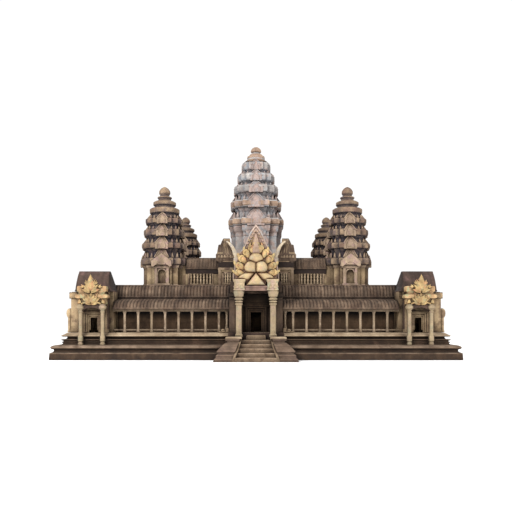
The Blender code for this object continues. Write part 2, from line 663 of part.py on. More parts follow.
def upper_gallery(name, place, entrance):
    """Two wings with windows and the gopura between them, hollow along its whole length.

    Over an entrance the gopura's roof is parted round the porch's vault, with a verge on each side.
    Elsewhere it has a gable.
    """
    line, half = GALLERY_LINE, GALLERY_HALF
    roof = arc((line, 8.56), (half + 0.07, 0.98), 0, 180, 10)
    section = (
        [(line - half, CORE_TOP + GAP), (line + half, CORE_TOP + GAP), (line + half, UPPER_WALL_TOP)]
        + [(line + half + 0.14, 8.46)] + roof + [(line - half - 0.14, 8.46), (line - half, UPPER_WALL_TOP)]
    )
    end = TOWER_AXIS - LINK_REACH - GAP
    wings = extrude_x(name, section, -end, end, ROOF_STONE, place)
    gopura = loft(
        name + "_gopura",
        [rectangle(a, b, z, (0.0, GOPURA_LINE)) for z, a, b in GOPURA_PROFILE], WALL_STONE, place,
    )
    face, back = GOPURA_LINE + GOPURA_HALF_Y, GOPURA_LINE - GOPURA_HALF_Y
    if entrance:
        fronts = [
            extrude_y(
                f"{name}_verge_{side}", [(side * x, z) for x, z in VERGE][::side], face - 0.36, face - 0.02,
                WALL_STONE, place,
            )
            for side in (-1, 1)
        ]
        notch = GATE_NOTCH + tuple((-x, z) for x, z in GATE_NOTCH[-2:0:-1])
        cutters = [extrude_y(name + "_notch", notch, GOPURA_LINE - 2, face + 1, WALL_STONE, place)]
    else:
        fronts = [
            extrude_y(name + "_gable", mirrored(GOPURA_GABLE), face - 0.36, face - 0.05, WALL_STONE, place)
        ]
        cutters = []
    low = CORE_TOP - 1
    corridor = boxes(
        name + "_corridor",
        [((-end - 1, line - CORRIDOR_HALF, low), (end + 1, line + CORRIDOR_HALF, CORRIDOR_TOP))],
        WALL_STONE, place,
    )
    room = boxes(
        name + "_room",
        [
            ((-GOPURA_ROOM_HALF_X, GOPURA_LINE - GOPURA_ROOM_HALF_Y, low),
             (GOPURA_ROOM_HALF_X, GOPURA_LINE + GOPURA_ROOM_HALF_Y, GOPURA_ROOM_TOP)),
        ],
        WALL_STONE, place,
    )
    openings = [
        ((-GOPURA_DOOR_HALF, GOPURA_LINE + 0.8, low), (GOPURA_DOOR_HALF, face + 0.2, GOPURA_DOOR_TOP)),
        ((-GOPURA_DOOR_HALF, back - 0.2, low), (GOPURA_DOOR_HALF, GOPURA_LINE - 0.8, GOPURA_DOOR_TOP)),
    ]
    windows = (
        (WING_WINDOW, line + 0.4, line + half + 0.2),
        (GOPURA_WINDOW, face - 0.6, face + 0.2),
    )
    for side in (-1, 1):
        for (near, far), back, front in windows:
            left, right = sorted((side * near, side * far))
            openings.append(((left, back, WINDOW_LOW), (right, front, WINDOW_HIGH)))
    holes = boxes(name + "_holes", openings, WALL_STONE, place)
    return cut(join(wings, gopura, *fronts), corridor, room, holes, *cutters)


def spire(name, axis, tiers, crown):
    """Stepped tiers on a redented plan, drawn in to a round lotus crown and finial."""
    sections = []
    for low, high, half in tiers:
        sections.append(redented(TIER_FOOT * half, low + GAP, axis))
        sections.append(redented(half, low + 0.2 * (high - low), axis))
        sections.append(redented(half, high - 0.06, axis))
        sections.append(redented(TIER_SHOULDER * half, high + 0.03, axis))
    sections += [ring(radius, z, axis) for z, radius in crown]
    return loft(name, sections, TOWER_STONE)


def four_ways(start, reach, half, low, high):
    """Boxes that run outward from near an axis in the four directions."""
    return [
        ((start, -half, low), (reach, half, high)), ((-reach, -half, low), (-start, half, high)),
        ((-half, start, low), (half, reach, high)), ((-half, -reach, low), (half, -start, high)),
    ]


def corner_tower(name, side_x, side_y):
    """A square cella with two doorways outward and two vestibules that meet the upper galleries."""
    place = facing(side_x, side_y) @ Matrix.Translation((TOWER_AXIS, TOWER_AXIS, 0.0))
    body = loft(name, [redented(half, z) for z, half in TOWER_PROFILE], TOWER_STONE, place)
    wall = GALLERY_HALF - 0.02
    links = boxes(
        name + "_links",
        [
            ((-LINK_REACH, -wall, CORE_TOP + GAP), (-1.6, wall, 8.78)),
            ((-wall, -LINK_REACH, CORE_TOP + GAP), (wall, -1.6, 8.78)),
        ],
        TOWER_STONE, place,
    )
    low = CORE_TOP - 1
    cella = boxes(
        name + "_cella", [((-CELLA_HALF, -CELLA_HALF, low), (CELLA_HALF, CELLA_HALF, CELLA_TOP))],
        TOWER_STONE, place,
    )
    reach, inside = TOWER_HALF + 0.6, CELLA_HALF - 0.2
    doors = boxes(
        name + "_doors",
        [
            ((inside, -NICHE_HALF, 6.98), (reach, NICHE_HALF, NICHE_TOP)),
            ((-NICHE_HALF, inside, 6.98), (NICHE_HALF, reach, NICHE_TOP)),
            ((-reach, -CORRIDOR_HALF, low), (-inside, CORRIDOR_HALF, CORRIDOR_TOP)),
            ((-CORRIDOR_HALF, -reach, low), (CORRIDOR_HALF, -inside, CORRIDOR_TOP)),
        ],
        TOWER_STONE, place,
    )
    cut(join(body, links), cella, doors)
    axis = (side_x * TOWER_AXIS, side_y * TOWER_AXIS)
    spire(name + "_spire", axis, TOWER_TIERS, TOWER_CROWN)


def central_tower():
    """The tallest tower, on a stepped base, with a doorway on each side."""
    body = loft("central_tower", [redented(half, z) for z, half in CENTRAL_PROFILE], TOWER_STONE)
    half = CENTRAL_CELLA_HALF
    cella = boxes(
        "central_cella", [((-half, -half, CENTRAL_FLOOR), (half, half, CENTRAL_CELLA_TOP))], TOWER_STONE
    )
    doors = boxes(
        "central_doors",
        four_ways(half - 0.2, 3.6, CENTRAL_DOOR_HALF, CENTRAL_FLOOR, CENTRAL_DOOR_TOP),
        TOWER_STONE,
    )
    cut(body, cella, doors)
    spire("central_tower_spire", (0.0, 0.0), CENTRAL_TIERS, CENTRAL_CROWN)


def upper_storey():
    for label, turn in (("front", 180), ("rear", 0), ("left", 90), ("right", -90)):
        place = Matrix.Rotation(math.radians(turn), 4, "Z")
        upper_gallery(f"upper_{label}_gallery", place, label in ("front", "rear"))
    for label, side_y in (("front", -1), ("rear", 1)):
        for hand, side_x in (("left", -1), ("right", 1)):
            corner_tower(f"{label}_{hand}_tower", side_x, side_y)
    central_tower()


terraces()
core()
galleries()
pavilions()
entrances()
upper_storey()
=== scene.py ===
"""The finish of a stone temple with five towers, dressed over its solids.

Lengths are metres, +Z is up and the front faces -Y. Shapes are drawn in the quarter of +X and +Y, or
looking outward along +Y, and are then mirrored or turned to every side that has them.
"""

import math

import bpy
import numpy as np
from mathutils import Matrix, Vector
from mathutils.geometry import tessellate_polygon


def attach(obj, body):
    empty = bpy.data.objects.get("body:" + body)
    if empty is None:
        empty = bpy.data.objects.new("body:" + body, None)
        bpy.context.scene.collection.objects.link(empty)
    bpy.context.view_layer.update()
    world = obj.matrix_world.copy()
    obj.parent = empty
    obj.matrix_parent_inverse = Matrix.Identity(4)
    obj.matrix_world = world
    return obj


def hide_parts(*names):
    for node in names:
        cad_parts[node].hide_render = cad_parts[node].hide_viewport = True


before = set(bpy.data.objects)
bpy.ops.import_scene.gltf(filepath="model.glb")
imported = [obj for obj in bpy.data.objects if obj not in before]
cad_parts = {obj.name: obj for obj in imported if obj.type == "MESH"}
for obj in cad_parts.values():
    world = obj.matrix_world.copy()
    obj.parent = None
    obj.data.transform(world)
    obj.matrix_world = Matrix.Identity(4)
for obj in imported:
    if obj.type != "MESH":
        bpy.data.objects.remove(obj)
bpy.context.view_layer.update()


# The view: a level camera straight in front, with the horizon at a standing person's height above
# the terrace foot. The shift only raises the frame, so that the towers' sides stay upright.

EYE = (0.0, -69.25, 3.67)
FOCAL_LENGTH = 42.68
HORIZON_BELOW_CENTRE = 62 / 512

camera_data = bpy.data.cameras.new("camera")
camera_data.lens = FOCAL_LENGTH
camera_data.sensor_width = 36.0
camera_data.shift_y = HORIZON_BELOW_CENTRE
camera_data.clip_end = 1000.0
camera = bpy.data.objects.new("camera", camera_data)
camera.location = EYE
camera.rotation_euler = (math.radians(90), 0.0, 0.0)
bpy.context.scene.collection.objects.link(camera)
bpy.context.scene.camera = camera
bpy.context.scene.view_settings.view_transform = "Standard"


# The studio: a wide pale floor, an even white surround and three soft lamps. The key lamp stands to
# the left of the front and high up, and the fill lamps lift the sides and the recesses.

FLOOR_HALF = 400.0
SURROUND = 1.04
LAMPS = (  # place, aimed at, side of the square lamp, watts
    ((-38.0, -62.0, 46.0), (0.0, 0.0, 6.0), 26.0, 52000.0),
    ((52.0, -48.0, 24.0), (0.0, 0.0, 6.0), 30.0, 16000.0),
    ((10.0, 60.0, 50.0), (0.0, 0.0, 8.0), 34.0, 26000.0),
)

floor_mesh = bpy.data.meshes.new("studio_floor")
floor_mesh.from_pydata(
    [(x * FLOOR_HALF, y * FLOOR_HALF, -0.004) for x, y in ((-1, -1), (1, -1), (1, 1), (-1, 1))], [], [(0, 1, 2, 3)]
)
floor = bpy.data.objects.new("studio_floor", floor_mesh)
bpy.context.scene.collection.objects.link(floor)
floor_paint = bpy.data.materials.new("studio_floor")
floor_paint.use_nodes = True
floor_shader = floor_paint.node_tree.nodes["Principled BSDF"]
floor_shader.inputs["Base Color"].default_value = (1.0, 1.0, 1.0, 1.0)
floor_shader.inputs["Roughness"].default_value = 0.9
floor_mesh.materials.append(floor_paint)

world = bpy.data.worlds.new("studio")
world.use_nodes = True
world.node_tree.nodes["Background"].inputs["Color"].default_value = (1.0, 1.0, 1.0, 1.0)
world.node_tree.nodes["Background"].inputs["Strength"].default_value = SURROUND
bpy.context.scene.world = world

for number, (place, target, side, watts) in enumerate(LAMPS):
    lamp_data = bpy.data.lights.new(f"lamp_{number}", "AREA")
    lamp_data.size = side
    lamp_data.energy = watts
    lamp = bpy.data.objects.new(f"lamp_{number}", lamp_data)
    aim = np.array(target) - np.array(place)
    lamp.location = place
    lamp.rotation_euler = (
        math.atan2(math.hypot(aim[0], aim[1]), -aim[2]), 0.0, math.atan2(aim[1], aim[0]) - math.pi / 2
    )
    bpy.context.scene.collection.objects.link(lamp)


# The terraces: two blocks of sandstone masonry on the ground, each with a plain foot, a waist, a
# rolled lip and a sloping top course. The mouldings are cut in long courses with mitred corners.

def linear(*srgb):
    """Colour values from 0 to 255 as the shader's linear values: low values divide, others follow a power."""
    values = np.array(srgb) / 255.0
    return tuple(np.where(values <= 0.04045, values / 12.92, ((values + 0.055) / 1.055) ** 2.4)) + (1.0,)


def stone(
    name, dark, light, *tints, courses=0.0, patch=0.45, grain=7.0, depth=0.25, rough=0.85, hollow=1.6,
    shadow=(70, 52, 42), shade_heights=None, ribs=None, reach=0.9, streak=1.0,
):
    """Weathered stone: noise mixes the dark and light colours in patches and grains, and hollows take painted shade.

    `courses` is the height of the masonry courses, drawn as thin joints that wrap round the corners.
    The four shade heights paint the shade under a roof: the stone turns black between the first two and
    clears again between the last two. `ribs` is the stretch of a noise that gives each rib a tone of its
    own. Hollows within `reach` metres take the shadow colour as painted shade.
    """
    made = bpy.data.materials.new(name)
    made.use_nodes = True
    nodes, links = made.node_tree.nodes, made.node_tree.links
    shader = nodes["Principled BSDF"]
    shader.inputs["Roughness"].default_value = rough
    shader.inputs["Specular IOR Level"].default_value = 0.25

    def node(kind, **values):
        new = nodes.new(kind)
        for key, value in values.items():
            setattr(new, key, value)
        return new

    def noise(scale, detail, stretch=(1.0, 1.0, 1.0), shift=0.0):
        mapping = node("ShaderNodeMapping")
        mapping.inputs["Scale"].default_value = stretch
        mapping.inputs["Location"].default_value = (shift, shift, shift)
        links.new(place.outputs["Object"], mapping.inputs["Vector"])
        texture = node("ShaderNodeTexNoise")
        texture.inputs["Scale"].default_value = scale
        texture.inputs["Detail"].default_value = detail
        links.new(mapping.outputs["Vector"], texture.inputs["Vector"])
        return texture.outputs["Fac"]

    def spread(value, low, high):
        ranged = node("ShaderNodeMapRange")
        ranged.inputs["From Min"].default_value = low
        ranged.inputs["From Max"].default_value = high
        links.new(value, ranged.inputs["Value"])
        return ranged.outputs["Result"]

    def mix(factor, first, second, blend="MIX"):
        mixed = node("ShaderNodeMix", data_type="RGBA", blend_type=blend)
        for socket, value in ((mixed.inputs["Factor"], factor), (mixed.inputs[6], first), (mixed.inputs[7], second)):
            if isinstance(value, bpy.types.NodeSocket):
                links.new(value, socket)
            else:
                socket.default_value = value
        return mixed.outputs[2]

    place = node("ShaderNodeTexCoord")
    patches = spread(noise(patch, 4.0), 0.35, 0.65)
    streaks = spread(noise(1.3, 3.0, (1.0, 1.0, 0.22)), 0.40, 0.75)
    grains = noise(grain, 6.0)
    colour = mix(patches, linear(*dark), linear(*light))
    for number, tint in enumerate(tints):
        colour = mix(spread(noise(patch * 1.7, 3.0, shift=9.0 * number), 0.52, 0.66), colour, linear(*tint))
    colour = mix(streaks, colour, mix(0.55 * streak, colour, linear(*[0.62 * c for c in dark])))
    if ribs:
        colour = mix(spread(noise(1.0, 1.0, ribs), 0.36, 0.64), mix(0.5, colour, linear(*[0.5 * c for c in dark])), colour)
    # Painted shade: between the given heights the stone turns black and then clears, for the shade under a roof.
    if shade_heights:
        split_height = node("ShaderNodeSeparateXYZ")
        links.new(place.outputs["Object"], split_height.inputs["Vector"])
        blackened = mix(spread(split_height.outputs["Z"], *shade_heights[:2]), colour, linear(14, 8, 6))
        colour = mix(spread(split_height.outputs["Z"], *shade_heights[2:]), blackened, colour)
    speckle = spread(grains, 0.25, 0.80)
    tone = node("ShaderNodeMapRange")
    tone.inputs["To Min"].default_value = 0.80
    tone.inputs["To Max"].default_value = 1.18
    links.new(speckle, tone.inputs["Value"])
    colour = mix(1.0, colour, tone.outputs["Result"], "MULTIPLY")
    height = grains
    if courses:
        split = node("ShaderNodeSeparateXYZ")
        links.new(place.outputs["Object"], split.inputs["Vector"])
        around = node("ShaderNodeMath", operation="ADD")
        links.new(split.outputs["X"], around.inputs[0])
        links.new(split.outputs["Y"], around.inputs[1])
        joined = node("ShaderNodeCombineXYZ")
        links.new(around.outputs["Value"], joined.inputs["X"])
        links.new(split.outputs["Z"], joined.inputs["Y"])
        bricks = node("ShaderNodeTexBrick")
        bricks.inputs["Scale"].default_value = 1.0
        bricks.inputs["Brick Width"].default_value = courses * 2.6
        bricks.inputs["Row Height"].default_value = courses
        bricks.inputs["Mortar Size"].default_value = 0.012
        bricks.inputs["Mortar Smooth"].default_value = 0.4
        links.new(joined.outputs["Vector"], bricks.inputs["Vector"])
        colour = mix(bricks.outputs["Fac"], colour, mix(0.6, colour, linear(*[0.4 * c for c in dark])))
    # Painted shade: ambient occlusion blends the hollows towards the shadow colour, more strongly as `hollow` grows.
    shade = node("ShaderNodeAmbientOcclusion", samples=4)
    shade.inputs["Distance"].default_value = reach
    power = node("ShaderNodeMath", operation="POWER")
    power.inputs[1].default_value = hollow
    links.new(shade.outputs["AO"], power.inputs[0])
    colour = mix(power.outputs["Value"], mix(1.0, colour, linear(*shadow), "MULTIPLY"), colour)
    links.new(colour, shader.inputs["Base Color"])
    bump = node("ShaderNodeBump")
    bump.inputs["Strength"].default_value = depth
    bump.inputs["Distance"].default_value = 0.05
    links.new(height, bump.inputs["Height"])
    links.new(bump.outputs["Normal"], shader.inputs["Normal"])
    return made


def ring_loft(rings):
    """Closed solid through rings: each ring's points join the next ring's, and flat triangles close the two ends.

    An end's triangles are turned so that each of their borders runs against the wall's.
    """
    count, size, _ = rings.shape
    index = np.arange(count * size).reshape(count, size)
    following = np.roll(index, -1, axis=1)
    quads = np.stack([index[:-1], following[:-1], following[1:], index[1:]], axis=-1).reshape(-1, 4)
    ends = []
    for ring, against in ((0, -1), (count - 1, 1)):
        faces = np.array(tessellate_polygon([[Vector(point) for point in rings[ring]]]), int)
        ahead = ((np.roll(faces, -1, axis=1) - faces) % size == 1).sum()
        behind = ((faces - np.roll(faces, -1, axis=1)) % size == 1).sum()
        turned_round = (ahead - behind) * against < 0
        ends.append((faces[:, ::-1] if turned_round else faces) + index[ring, 0])
    return outward((rings.reshape(-1, 3), quads, np.concatenate(ends)))


def outward(shape):
    """Turns every face round when the sum of the signed tetrahedra under the faces is negative."""
    points, quads, triangles = shape
    every = np.concatenate([quads[:, [0, 1, 2]], quads[:, [0, 2, 3]], triangles])
    volume = np.einsum("ij,ij->i", points[every[:, 0]], np.cross(points[every[:, 1]], points[every[:, 2]])).sum()
    return shape if volume > 0 else (points, quads[:, ::-1], triangles[:, ::-1])


def together(shapes):
    """Several shapes as one: points are stacked and face numbers moved up by the points before them."""
    starts = np.cumsum([0] + [len(points) for points, _, _ in shapes[:-1]])
    return (
        np.concatenate([points for points, _, _ in shapes]),
        np.concatenate([quads + start for (_, quads, _), start in zip(shapes, starts)]),
        np.concatenate([triangles + start for (_, _, triangles), start in zip(shapes, starts)]),
    )


def placed(shape, matrices):
    """One copy for each 4 by 4 matrix: every point is multiplied by every matrix in one product."""
    points, quads, triangles = shape
    matrices = np.asarray(matrices, float).reshape(-1, 4, 4)
    moved = np.einsum("kij,nj->kni", matrices[:, :3, :3], points) + matrices[:, None, :3, 3]
    mirrored = np.linalg.det(matrices[:, :3, :3]) < 0
    step = (np.arange(len(matrices)) * len(points))[:, None, None]

    def copied(faces):
        every = np.repeat(faces[None], len(matrices), axis=0)
        every[mirrored] = every[mirrored][:, :, ::-1]
        return (every + step).reshape(-1, faces.shape[1])

    return moved.reshape(-1, 3), copied(quads), copied(triangles)


def turned(angle=0.0, move=(0.0, 0.0, 0.0), size=(1.0, 1.0, 1.0)):
    """The matrix that scales, then turns about Z by the angle in degrees, then moves."""
    cosine, sine = math.cos(math.radians(angle)), math.sin(math.radians(angle))
    matrix = np.eye(4)
    matrix[:3, :3] = np.array([[cosine, -sine, 0], [sine, cosine, 0], [0, 0, 1]]) * np.array(size)
    matrix[:3, 3] = move
    return matrix


QUARTERS = [np.diag([x, y, 1.0, 1.0]) for y in (-1.0, 1.0) for x in (-1.0, 1.0)]
FRONT_AND_REAR = [np.diag([1.0, y, 1.0, 1.0]) for y in (-1.0, 1.0)]


def piece(name, shape, finish, replaced=(), smooth=40.0):
    """Puts a shape into a mesh at the origin, gives it its finish, and lets it ride on the temple."""
    points, quads, triangles = shape
    mesh = bpy.data.meshes.new(name)
    corners = np.concatenate([quads.ravel(), triangles.ravel()])
    totals = np.concatenate([np.full(len(quads), 4), np.full(len(triangles), 3)])
    mesh.vertices.add(len(points))
    mesh.vertices.foreach_set("co", points.astype(np.float32).ravel())
    mesh.loops.add(len(corners))
    mesh.loops.foreach_set("vertex_index", corners.astype(np.int32))
    mesh.polygons.add(len(totals))
    mesh.polygons.foreach_set("loop_start", (np.cumsum(totals) - totals).astype(np.int32))
    mesh.update(calc_edges=True)
    mesh.materials.append(finish)
    mesh.shade_smooth()
    mesh.set_sharp_from_angle(angle=math.radians(smooth))
    made = bpy.data.objects.new(name, mesh)
    bpy.context.scene.collection.objects.link(made)
    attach(made, "root")
    if replaced:
        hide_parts(*replaced)
    return made


def rounded(points, radius, steps=4):
    """An open outline with round corners: each corner becomes a quadratic curve that starts and ends a radius away."""
    points = np.asarray(points, float)
    before, corner, after = points[:-2], points[1:-1], points[2:]
    to_before = before - corner
    to_after = after - corner
    reach_before = np.linalg.norm(to_before, axis=1, keepdims=True)
    reach_after = np.linalg.norm(to_after, axis=1, keepdims=True)
    start = corner + to_before / reach_before * np.minimum(radius, 0.45 * reach_before)
    end = corner + to_after / reach_after * np.minimum(radius, 0.45 * reach_after)
    t = np.linspace(0.0, 1.0, steps)[None, :, None]
    curves = (1 - t) ** 2 * start[:, None] + 2 * t * (1 - t) * corner[:, None] + t**2 * end[:, None]
    return np.concatenate([points[:1], curves.reshape(-1, points.shape[1]), points[-1:]])


def rectangle_rings(half_x, half_y, profile, middle=(0.0, 0.0)):
    """Rings of a rectangle whose sides move outward by the profile's offsets at its heights."""
    heights, offsets = profile[:, 0], profile[:, 1]
    corners = np.array([(-1, -1), (1, -1), (1, 1), (-1, 1)], float)
    halves = np.stack([half_x + offsets, half_y + offsets], axis=-1)
    plan = corners[None] * halves[:, None] + np.asarray(middle)
    return np.concatenate([plan, np.repeat(heights[:, None, None], 4, axis=1)], axis=-1)


TERRACE_HALF = np.array([18.0, 16.55])
LOWER_MOULDING = (
    (0.0, 0.0), (0.54, -0.03), (0.59, -0.04), (0.63, -0.08), (0.66, -0.18), (0.72, -0.29), (0.80, -0.33), (0.92, -0.33),
    (0.97, -0.16), (1.02, -0.11), (1.12, -0.10), (1.20, -0.17), (1.26, -0.28), (1.30, -0.42),
)
UPPER_HALF = np.array([17.15, 15.55])
UPPER_MOULDING = (
    (1.3003, 0.0), (1.40, 0.0), (1.43, -0.06), (1.47, -0.06), (1.49, 0.04), (1.57, 0.05), (1.60, -0.08), (1.66, -0.09),
    (1.69, 0.06), (1.74, 0.09), (1.79, 0.05), (1.82, -0.28), (1.98, -0.36), (2.37, -0.40),
)
terrace_finish = stone("terrace_finish", (58, 42, 30), (77, 58, 42), (88, 68, 50), courses=0.42, patch=0.6)
upper_shape = ring_loft(rectangle_rings(*UPPER_HALF, rounded(UPPER_MOULDING, 0.03)))
upper_course_finish = stone(
    "upper_course_finish", (80, 62, 48), (100, 80, 62), (112, 88, 70), courses=0.42, patch=0.6, hollow=1.3
)
piece("upper_terrace_courses", upper_shape, upper_course_finish, ["upper_terrace"])
ledge_finish = stone("ledge_finish", (144, 124, 100), (170, 150, 124), (130, 110, 88), grain=9.0, depth=0.15, hollow=1.0)
pale_finish = stone("pale_finish", (124, 104, 82), (152, 132, 106), (112, 92, 74), grain=9.0, depth=0.18)
LEDGE = (
    (1.995, -0.60), (2.0, -0.12), (2.03, 0.03), (2.08, 0.08), (2.14, 0.04), (2.22, -0.12), (2.31, -0.27), (2.371, -0.40),
    (2.3715, -0.60),
)
ledge_shape = ring_loft(rectangle_rings(*UPPER_HALF, rounded(LEDGE, 0.03)))
piece("upper_terrace_ledge", ledge_shape, ledge_finish)
UPPER_LIP = ((1.05, -0.60), (1.052, -0.10), (1.12, -0.09), (1.21, -0.165), (1.265, -0.275), (1.302, -0.415), (1.303, -0.60))
LOWER_LIP = ((0.56, -0.60), (0.562, -0.03), (0.595, -0.03), (0.64, -0.075), (0.668, -0.18), (0.67, -0.60))
lips = together([ring_loft(rectangle_rings(*TERRACE_HALF, np.array(lip))) for lip in (UPPER_LIP, LOWER_LIP)])
lip_finish = stone("lip_finish", (104, 86, 70), (132, 112, 94), (92, 74, 60), patch=0.7, grain=9.0, depth=0.18)
piece("lower_terrace_lips", lips, lip_finish)


# The stairs and their cheeks: the lower terrace runs out beside each flight in the same mouldings.
# A pale stone kerb edges the flight, and the worn steps narrow as they rise to the threshold.

CHEEK_SECTIONS = (
    (0.0, 3.56, 18.95), (0.20, 3.52, 18.93), (0.26, 3.46, 18.86), (0.30, 3.38, 18.78), (0.46, 3.34, 18.74),
    (0.52, 3.36, 18.76), (0.60, 3.28, 18.64), (0.64, 3.20, 18.50), (0.76, 3.18, 18.46), (0.80, 3.30, 18.56),
    (0.90, 3.28, 18.44), (1.40, 2.80, 17.62), (1.50, 2.68, 17.40), (1.54, 2.50, 17.12), (1.68, 2.48, 17.08),
    (1.72, 2.62, 17.14), (1.98, 2.62, 17.12), (2.03, 2.57, 17.07),
)
CHEEK_BACK = 15.651
KERB_SIDE = ((18.93, 0.0), (18.93, 0.50), (18.60, 0.66), (17.60, 1.22), (16.55, 1.96), (16.30, 2.0), (16.0, 2.0), (16.0, 0.0))
RISER, TREADS = 0.35, 5
STAIR_FOOT, TREAD_BACK = 18.95, 17.45


def stair_half(z):
    """The flight's half width falls in a straight line from 1.84 at the ground to 1.22 at 1.75."""
    return 1.84 - 0.62 * np.asarray(z) / 1.75


def prism(outline, low, high, axis):
    """A flat outline drawn along one axis from low to high; the outline holds the other two coordinates."""
    outline = np.asarray(outline, float)
    rings = np.stack([np.insert(outline, axis, level, axis=1) for level in (low, high)])
    return ring_loft(rings)


cheek_outline = rounded(CHEEK_SECTIONS, 0.025)
cheek_inner = stair_half(np.minimum(cheek_outline[:, 0], 1.75)) + 0.20
cheek_rings = np.stack([
    np.stack([cheek_inner, np.full(len(cheek_outline), CHEEK_BACK), cheek_outline[:, 0]], axis=-1),
    np.stack([cheek_outline[:, 1], np.full(len(cheek_outline), CHEEK_BACK), cheek_outline[:, 0]], axis=-1),
    np.stack([cheek_outline[:, 1], cheek_outline[:, 2], cheek_outline[:, 0]], axis=-1),
    np.stack([cheek_inner, cheek_outline[:, 2], cheek_outline[:, 0]], axis=-1),
], axis=1)
lower_shape = ring_loft(rectangle_rings(*TERRACE_HALF, rounded(LOWER_MOULDING, 0.03)))
piece("lower_terrace_courses", lower_shape, terrace_finish, ["lower_terrace"])
cheek_finish = stone("cheek_finish", (92, 74, 60), (118, 98, 82), (104, 84, 72), courses=0.42, patch=0.7)
piece("stair_cheeks", placed(ring_loft(cheek_rings), QUARTERS), cheek_finish, ["lower_terrace"])

kerb_line = rounded(KERB_SIDE, 0.05)
kerb_rings = np.stack([
    np.stack([stair_half(np.minimum(kerb_line[:, 1], 1.75)) + side, kerb_line[:, 0], kerb_line[:, 1]], axis=-1)
    for side in (0.005, 0.03, 0.17, 0.195)
])
kerb_rings[[0, 3], :, 2] -= 0.03 * (kerb_rings[[0, 3], :, 2] > 0.1)
slab_levels = ((1.86, -0.04), (1.88, 0.04), (1.96, 0.05), (2.0, 0.02), (2.036, -0.02))
cheek_slab = ring_loft(rectangle_rings(0.66, 0.73, np.array(slab_levels), (1.93, 16.38)))
piece("cheek_slabs", placed(cheek_slab, QUARTERS), ledge_finish)
piece("stair_kerbs", placed(ring_loft(kerb_rings), QUARTERS), pale_finish)


def rows(*spans):
    """Blocks given as lowest and highest X, Y and Z, each with its edges taken off by a small bevel."""
    shapes = []
    for x0, x1, y0, y1, z0, z1 in spans:
        cut = 0.12 * min(x1 - x0, y1 - y0, z1 - z0, 0.25)
        profile = np.array([(z0, -cut), (z0 + cut, 0.0), (z1 - cut, 0.0), (z1, -cut)])
        middle = ((x0 + x1) / 2, (y0 + y1) / 2)
        shapes.append(ring_loft(rectangle_rings((x1 - x0) / 2, (y1 - y0) / 2, profile, middle)))
    return together(shapes)


tread = (STAIR_FOOT - CHEEK_BACK) / TREADS
step_shapes = []
for step in range(TREADS):
    front, top = STAIR_FOOT - step * tread, (step + 1) * RISER
    side = rounded(((front - 0.03, top - RISER), (front, top - 0.09), (front, top), (front - 0.5, top)), 0.05)
    outline = np.concatenate([side, [(CHEEK_BACK + 0.2, top), (CHEEK_BACK + 0.2, top - RISER)]])
    half = stair_half(outline[:, 1]) - 0.002
    step_shapes.append(ring_loft(np.stack([np.insert(outline, 0, x, axis=1) for x in (-half, half)])))
step_shapes.append(rows((-0.86, 0.86, CHEEK_BACK, 15.97, 1.751, 2.09)))
stair_names = ["front_stair", "rear_stair"]
step_finish = stone("step_finish", (132, 110, 88), (162, 140, 116), (112, 92, 74), patch=1.2, depth=0.2, hollow=1.3)
piece("stair_steps", placed(together(step_shapes), FRONT_AND_REAR), step_finish, stair_names)


# The colonnades: slim square sandstone pillars with a base and a cap, a low rail between them and a
# moulded beam that carries the half vault. A turned column stands at each end beside the entrance.

FLOOR_LEVEL, RAIL, BEAM_UNDER = 2.3703, (2.54, 2.66), 4.26
FRONT_LINE, SIDE_LINE = 14.60, 16.05
PILLAR = (
    (2.3703, 0.128), (2.50, 0.128), (2.52, 0.108), (2.58, 0.112), (2.62, 0.090), (4.02, 0.090),
    (4.05, 0.112), (4.09, 0.100), (4.14, 0.128), (4.262, 0.135),
)
TURNED = (
    (2.3703, 0.20), (2.46, 0.20), (2.50, 0.15), (2.56, 0.16), (2.70, 0.20), (2.86, 0.17), (2.96, 0.11),
    (3.02, 0.14), (3.08, 0.11), (3.60, 0.115), (3.66, 0.15), (3.72, 0.115), (3.95, 0.12), (4.03, 0.16),
    (4.10, 0.13), (4.18, 0.19), (4.262, 0.20),
)
BEAM = (
    (-0.13, 4.26), (0.13, 4.26), (0.15, 4.30), (0.15, 4.35), (0.185, 4.37), (0.185, 4.449), (-0.17, 4.449),
    (-0.17, 4.37),
)


def lathe(profile, count=20, radius=0.02, middle=(0.0, 0.0), power=2.0):
    """Turned solid: the profile's radius at each height goes round the axis. Above 2, `power` squares the circle off."""
    profile = rounded(profile, radius)
    angle = (np.arange(count) + 0.5) * 2 * math.pi / count
    cosine, sine = np.cos(angle), np.sin(angle)
    reach = (np.abs(cosine) ** power + np.abs(sine) ** power) ** (-1 / power)
    plan = profile[:, 1, None, None] * (reach * np.stack([cosine, sine]))[None]
    heights = np.repeat(profile[:, 0, None], count, axis=1)
    return ring_loft(np.stack([plan[:, 0] + middle[0], plan[:, 1] + middle[1], heights], axis=-1))


pillar_finish = stone("pillar_finish", (128, 110, 88), (158, 138, 116), (104, 86, 70), patch=0.9, depth=0.2)
pillar_shape = ring_loft(rectangle_rings(0.0, 0.0, rounded(PILLAR, 0.012)))
front_x = 3.34 + 1.21 * np.arange(8)
side_x = 1.24 * (np.arange(9) + 0.5)


def colonnade(line, places, low, high):
    """Pillars at the places along X, with the beam and the rail from the low end to the high end."""
    pillars = placed(pillar_shape, [turned(move=(x, line, 0.0)) for x in places])
    beam = prism(np.array(BEAM) + (line, 0.0), low, high, 0)
    rail = rows((low, high, line - 0.055, line + 0.055, *RAIL))
    return together([pillars, beam, rail])


